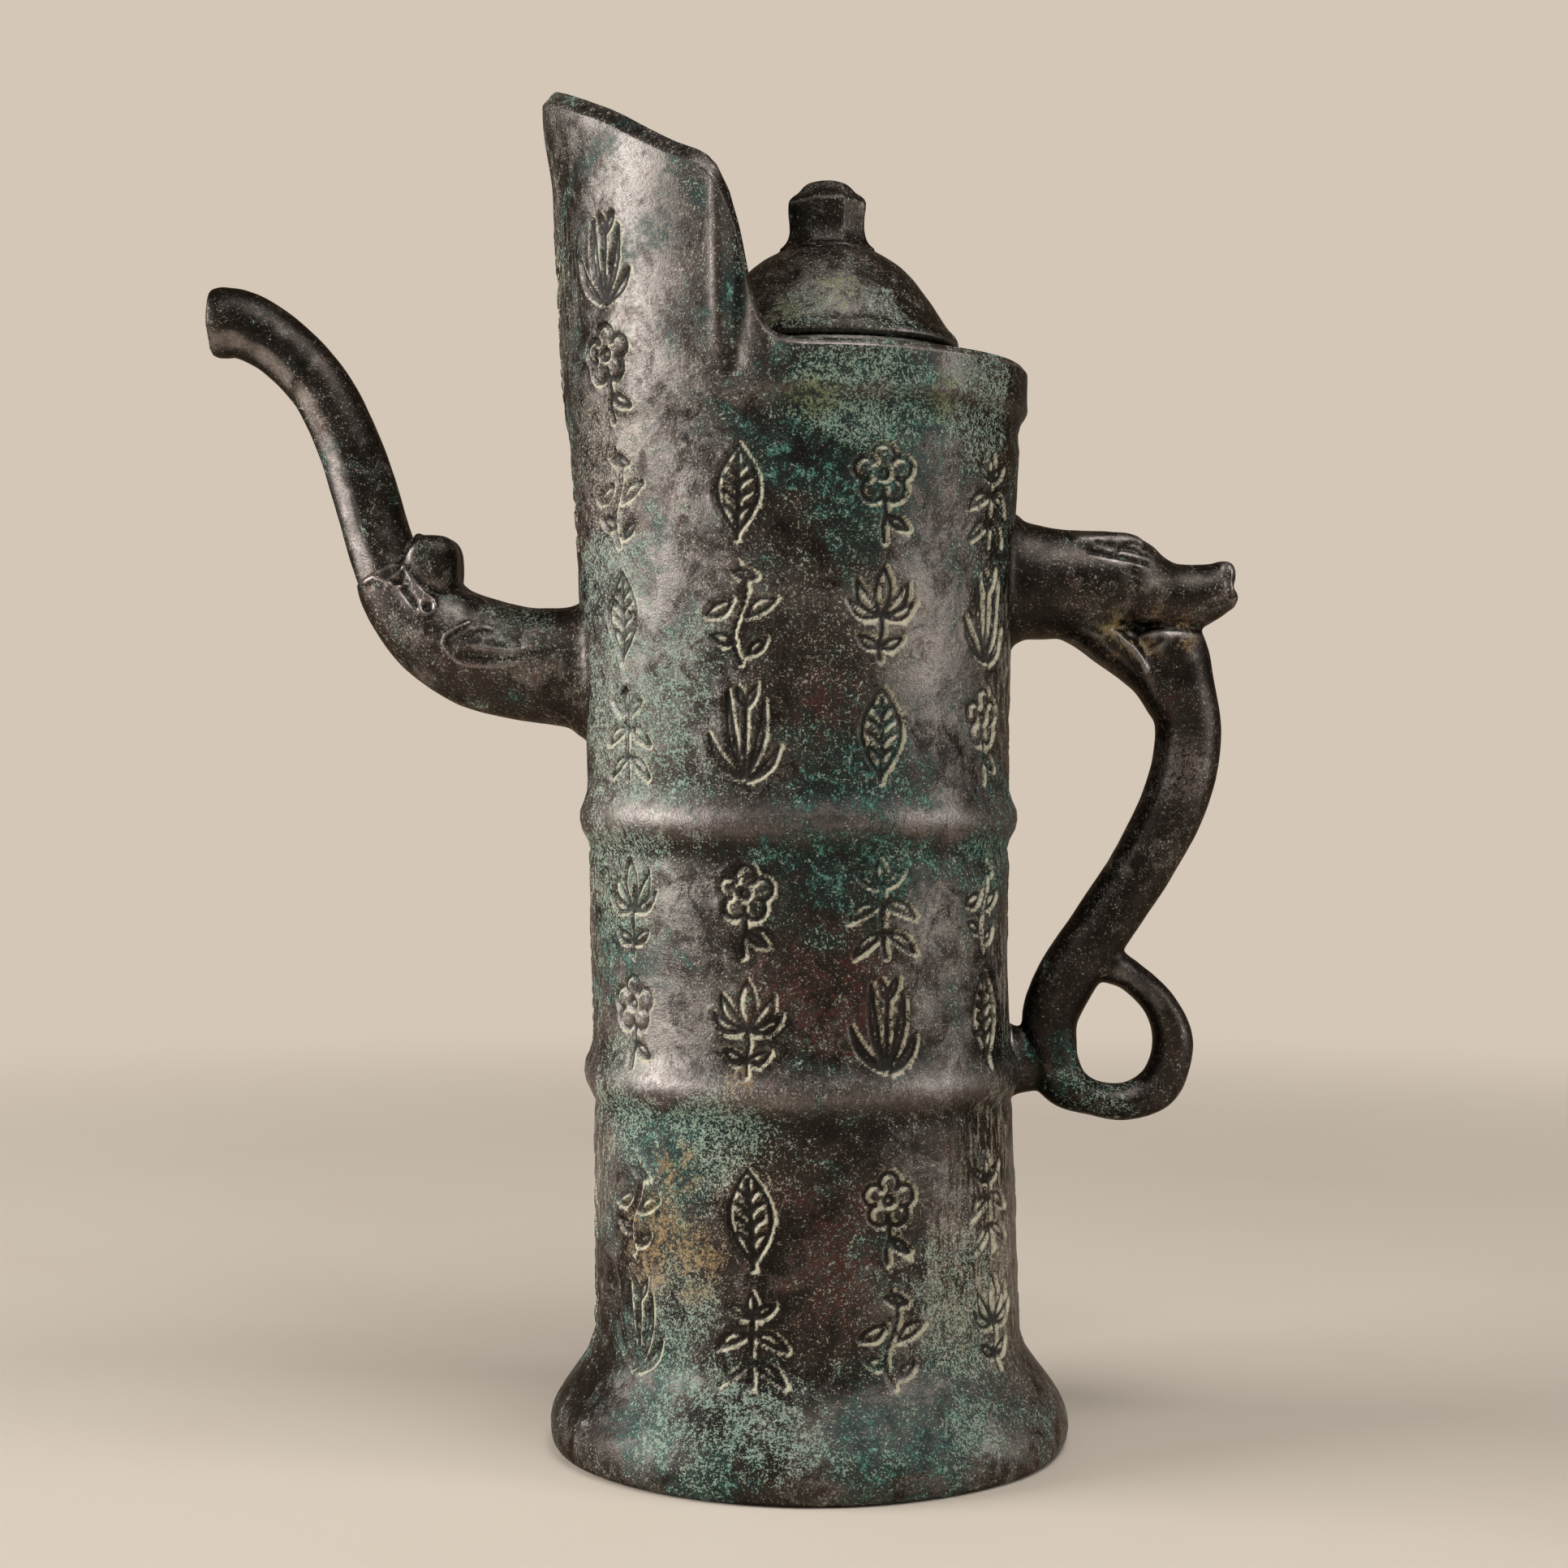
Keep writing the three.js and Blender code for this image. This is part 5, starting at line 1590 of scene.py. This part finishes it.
def at(x, points):
    """Rings of the given radii and heights, all centred at x."""
    return [(x, radius, height) for radius, height in points]


def smooth_line(points, steps):
    return [tuple(curve_point(points, share)[0]) for share in np.linspace(0, 1, steps)]


def closed_up(bm):
    bmesh.ops.remove_doubles(bm, verts=bm.verts[:], dist=1e-4)
    bmesh.ops.recalc_face_normals(bm, faces=bm.faces[:])


def stacked(name, rings, steps, faceted=False):
    """A closed form of stacked rings, each with a centre on the X axis, a radius and a height."""
    mesh = mesh_from(spun([(1, index) for index in range(len(rings))], steps, closed=True), name)
    x, y, ring = corners(mesh).T
    turn = np.arctan2(y, x)
    centre, radius, height = np.array(rings, float)[np.round(ring).astype(int)].T
    if faceted:
        half = math.pi / KNOB_SIDES
        corner = (turn + half) % (2 * half) - half
        radius = radius * (1 + (math.cos(half) / np.cos(corner) - 1) * eased(radius, *FACET_START))
    places = [centre + radius * np.cos(turn), radius * np.sin(turn), height]
    set_corners(mesh, np.stack(places, axis=1))
    return reworked(mesh, closed_up)


def roughen(mesh, coarse, fine, seed):
    """Moves each vertex along its normal by cast waves, coarse and fine, and gives the heights."""
    places = corners(mesh)
    broad, narrow = CAST_WAVES
    lift = coarse * undulation(places, broad, seed) + fine * undulation(places, narrow, seed + 1)
    set_corners(mesh, places + corners(mesh, "normal") * lift[:, None])
    return corners(mesh)[:, 2]


print("stacking ready")

# %% Lid
MOUTH_X = 3.5
LID_SEAT = 226.6
DOME_OUTSIDE = [
    (27.0, 226.9), (27.3, 227.5), (27.15, 228.4), (26.7, 229.2), (25.3, 230.7), (23.1, 234.0), (20.3, 238.2),
    (17.2, 242.1), (13.7, 245.0), (10.4, 247.0), (8.9, 248.4), (6.0, 248.8),
]
DOME_INSIDE = [(3.2, 246.2), (8.2, 245.4), (13.0, 242.4), (17.6, 236.2), (20.4, 231.2), (21.0, 227.0)]
DOME_FOOT = [(21.3, LID_SEAT), (26.6, LID_SEAT)]
KNOB_OUTSIDE = [
    (10.6, 247.3), (9.1, 248.9), (8.4, 251.2), (8.4, 253.8), (8.65, 256.0), (8.6, 257.2), (7.9, 258.2),
    (6.4, 259.3), (5.2, 260.6), (3.9, 261.5), (2.0, 261.9), (0.05, 262.0),
]
KNOB_TANG = [(0.05, 242.4), (4.6, 242.4), (4.6, 245.6), (3.0, 245.6), (3.0, 247.2), (10.2, 246.8)]
FLANGE = [(21.1, 218.9), (21.4, 218.6), (22.8, 218.6), (23.1, 218.9), (23.1, LID_SEAT), (21.1, LID_SEAT)]

dome_line = smooth_line(DOME_OUTSIDE, 60) + [(3.2, 248.8)] + smooth_line(DOME_INSIDE, 16) + DOME_FOOT
dome_mesh = stacked("dome", at(MOUTH_X, dome_line), 120)
dome_height = roughen(dome_mesh, 0.22, 0.08, 23)
# The hollow marks paint shade just above the dome's rim and round the knob's foot.
mark(dome_mesh, "hollow", humps(dome_height, [(228.6, 1.4, 1), (249.2, 1.6, 1)]))
mark(dome_mesh, "ridge", humps(dome_height, [(227.3, 0.6, 0.8)]))
add_piece(dome_mesh, "lid_dome", "lid", "lid_bronze")

knob_mesh = stacked("knob", at(MOUTH_X, smooth_line(KNOB_OUTSIDE, 44) + KNOB_TANG), 96, faceted=True)
knob_height = roughen(knob_mesh, 0.16, 0.05, 29)
# The knob's hollow mark paints shade in the fillet at its foot.
mark(knob_mesh, "hollow", humps(knob_height, [(249.4, 1.3, 1)]))
add_piece(knob_mesh, "lid_knob", "lid", "lid_bronze")
add_piece(stacked("flange", at(MOUTH_X, FLANGE), 96), "lid_flange", "lid", "lid_bronze")

# %% Mouth ring and base plate
RING_X = -3.09
DECK = [(43.05, 216.0), (43.05, 218.8), (42.8, 219.0)]
COLLAR = [
    (28.4, 219.0), (27.1, 219.4), (26.5, 220.6), (26.5, 226.1), (26.2, 226.5), (23.8, 226.5), (23.5, 226.2),
    (23.5, 216.0),
]
PLATE = [(0.05, 0.0), (45.6, 0.0), (46.0, 0.4), (46.0, 3.0), (0.05, 3.0)]
add_piece(stacked("mouth", at(RING_X, DECK) + at(MOUTH_X, COLLAR), 120), "mouth_ring", "pot", "body_bronze")
add_piece(stacked("base", at(0, PLATE), 96), "base_plate", "pot", "body_bronze")
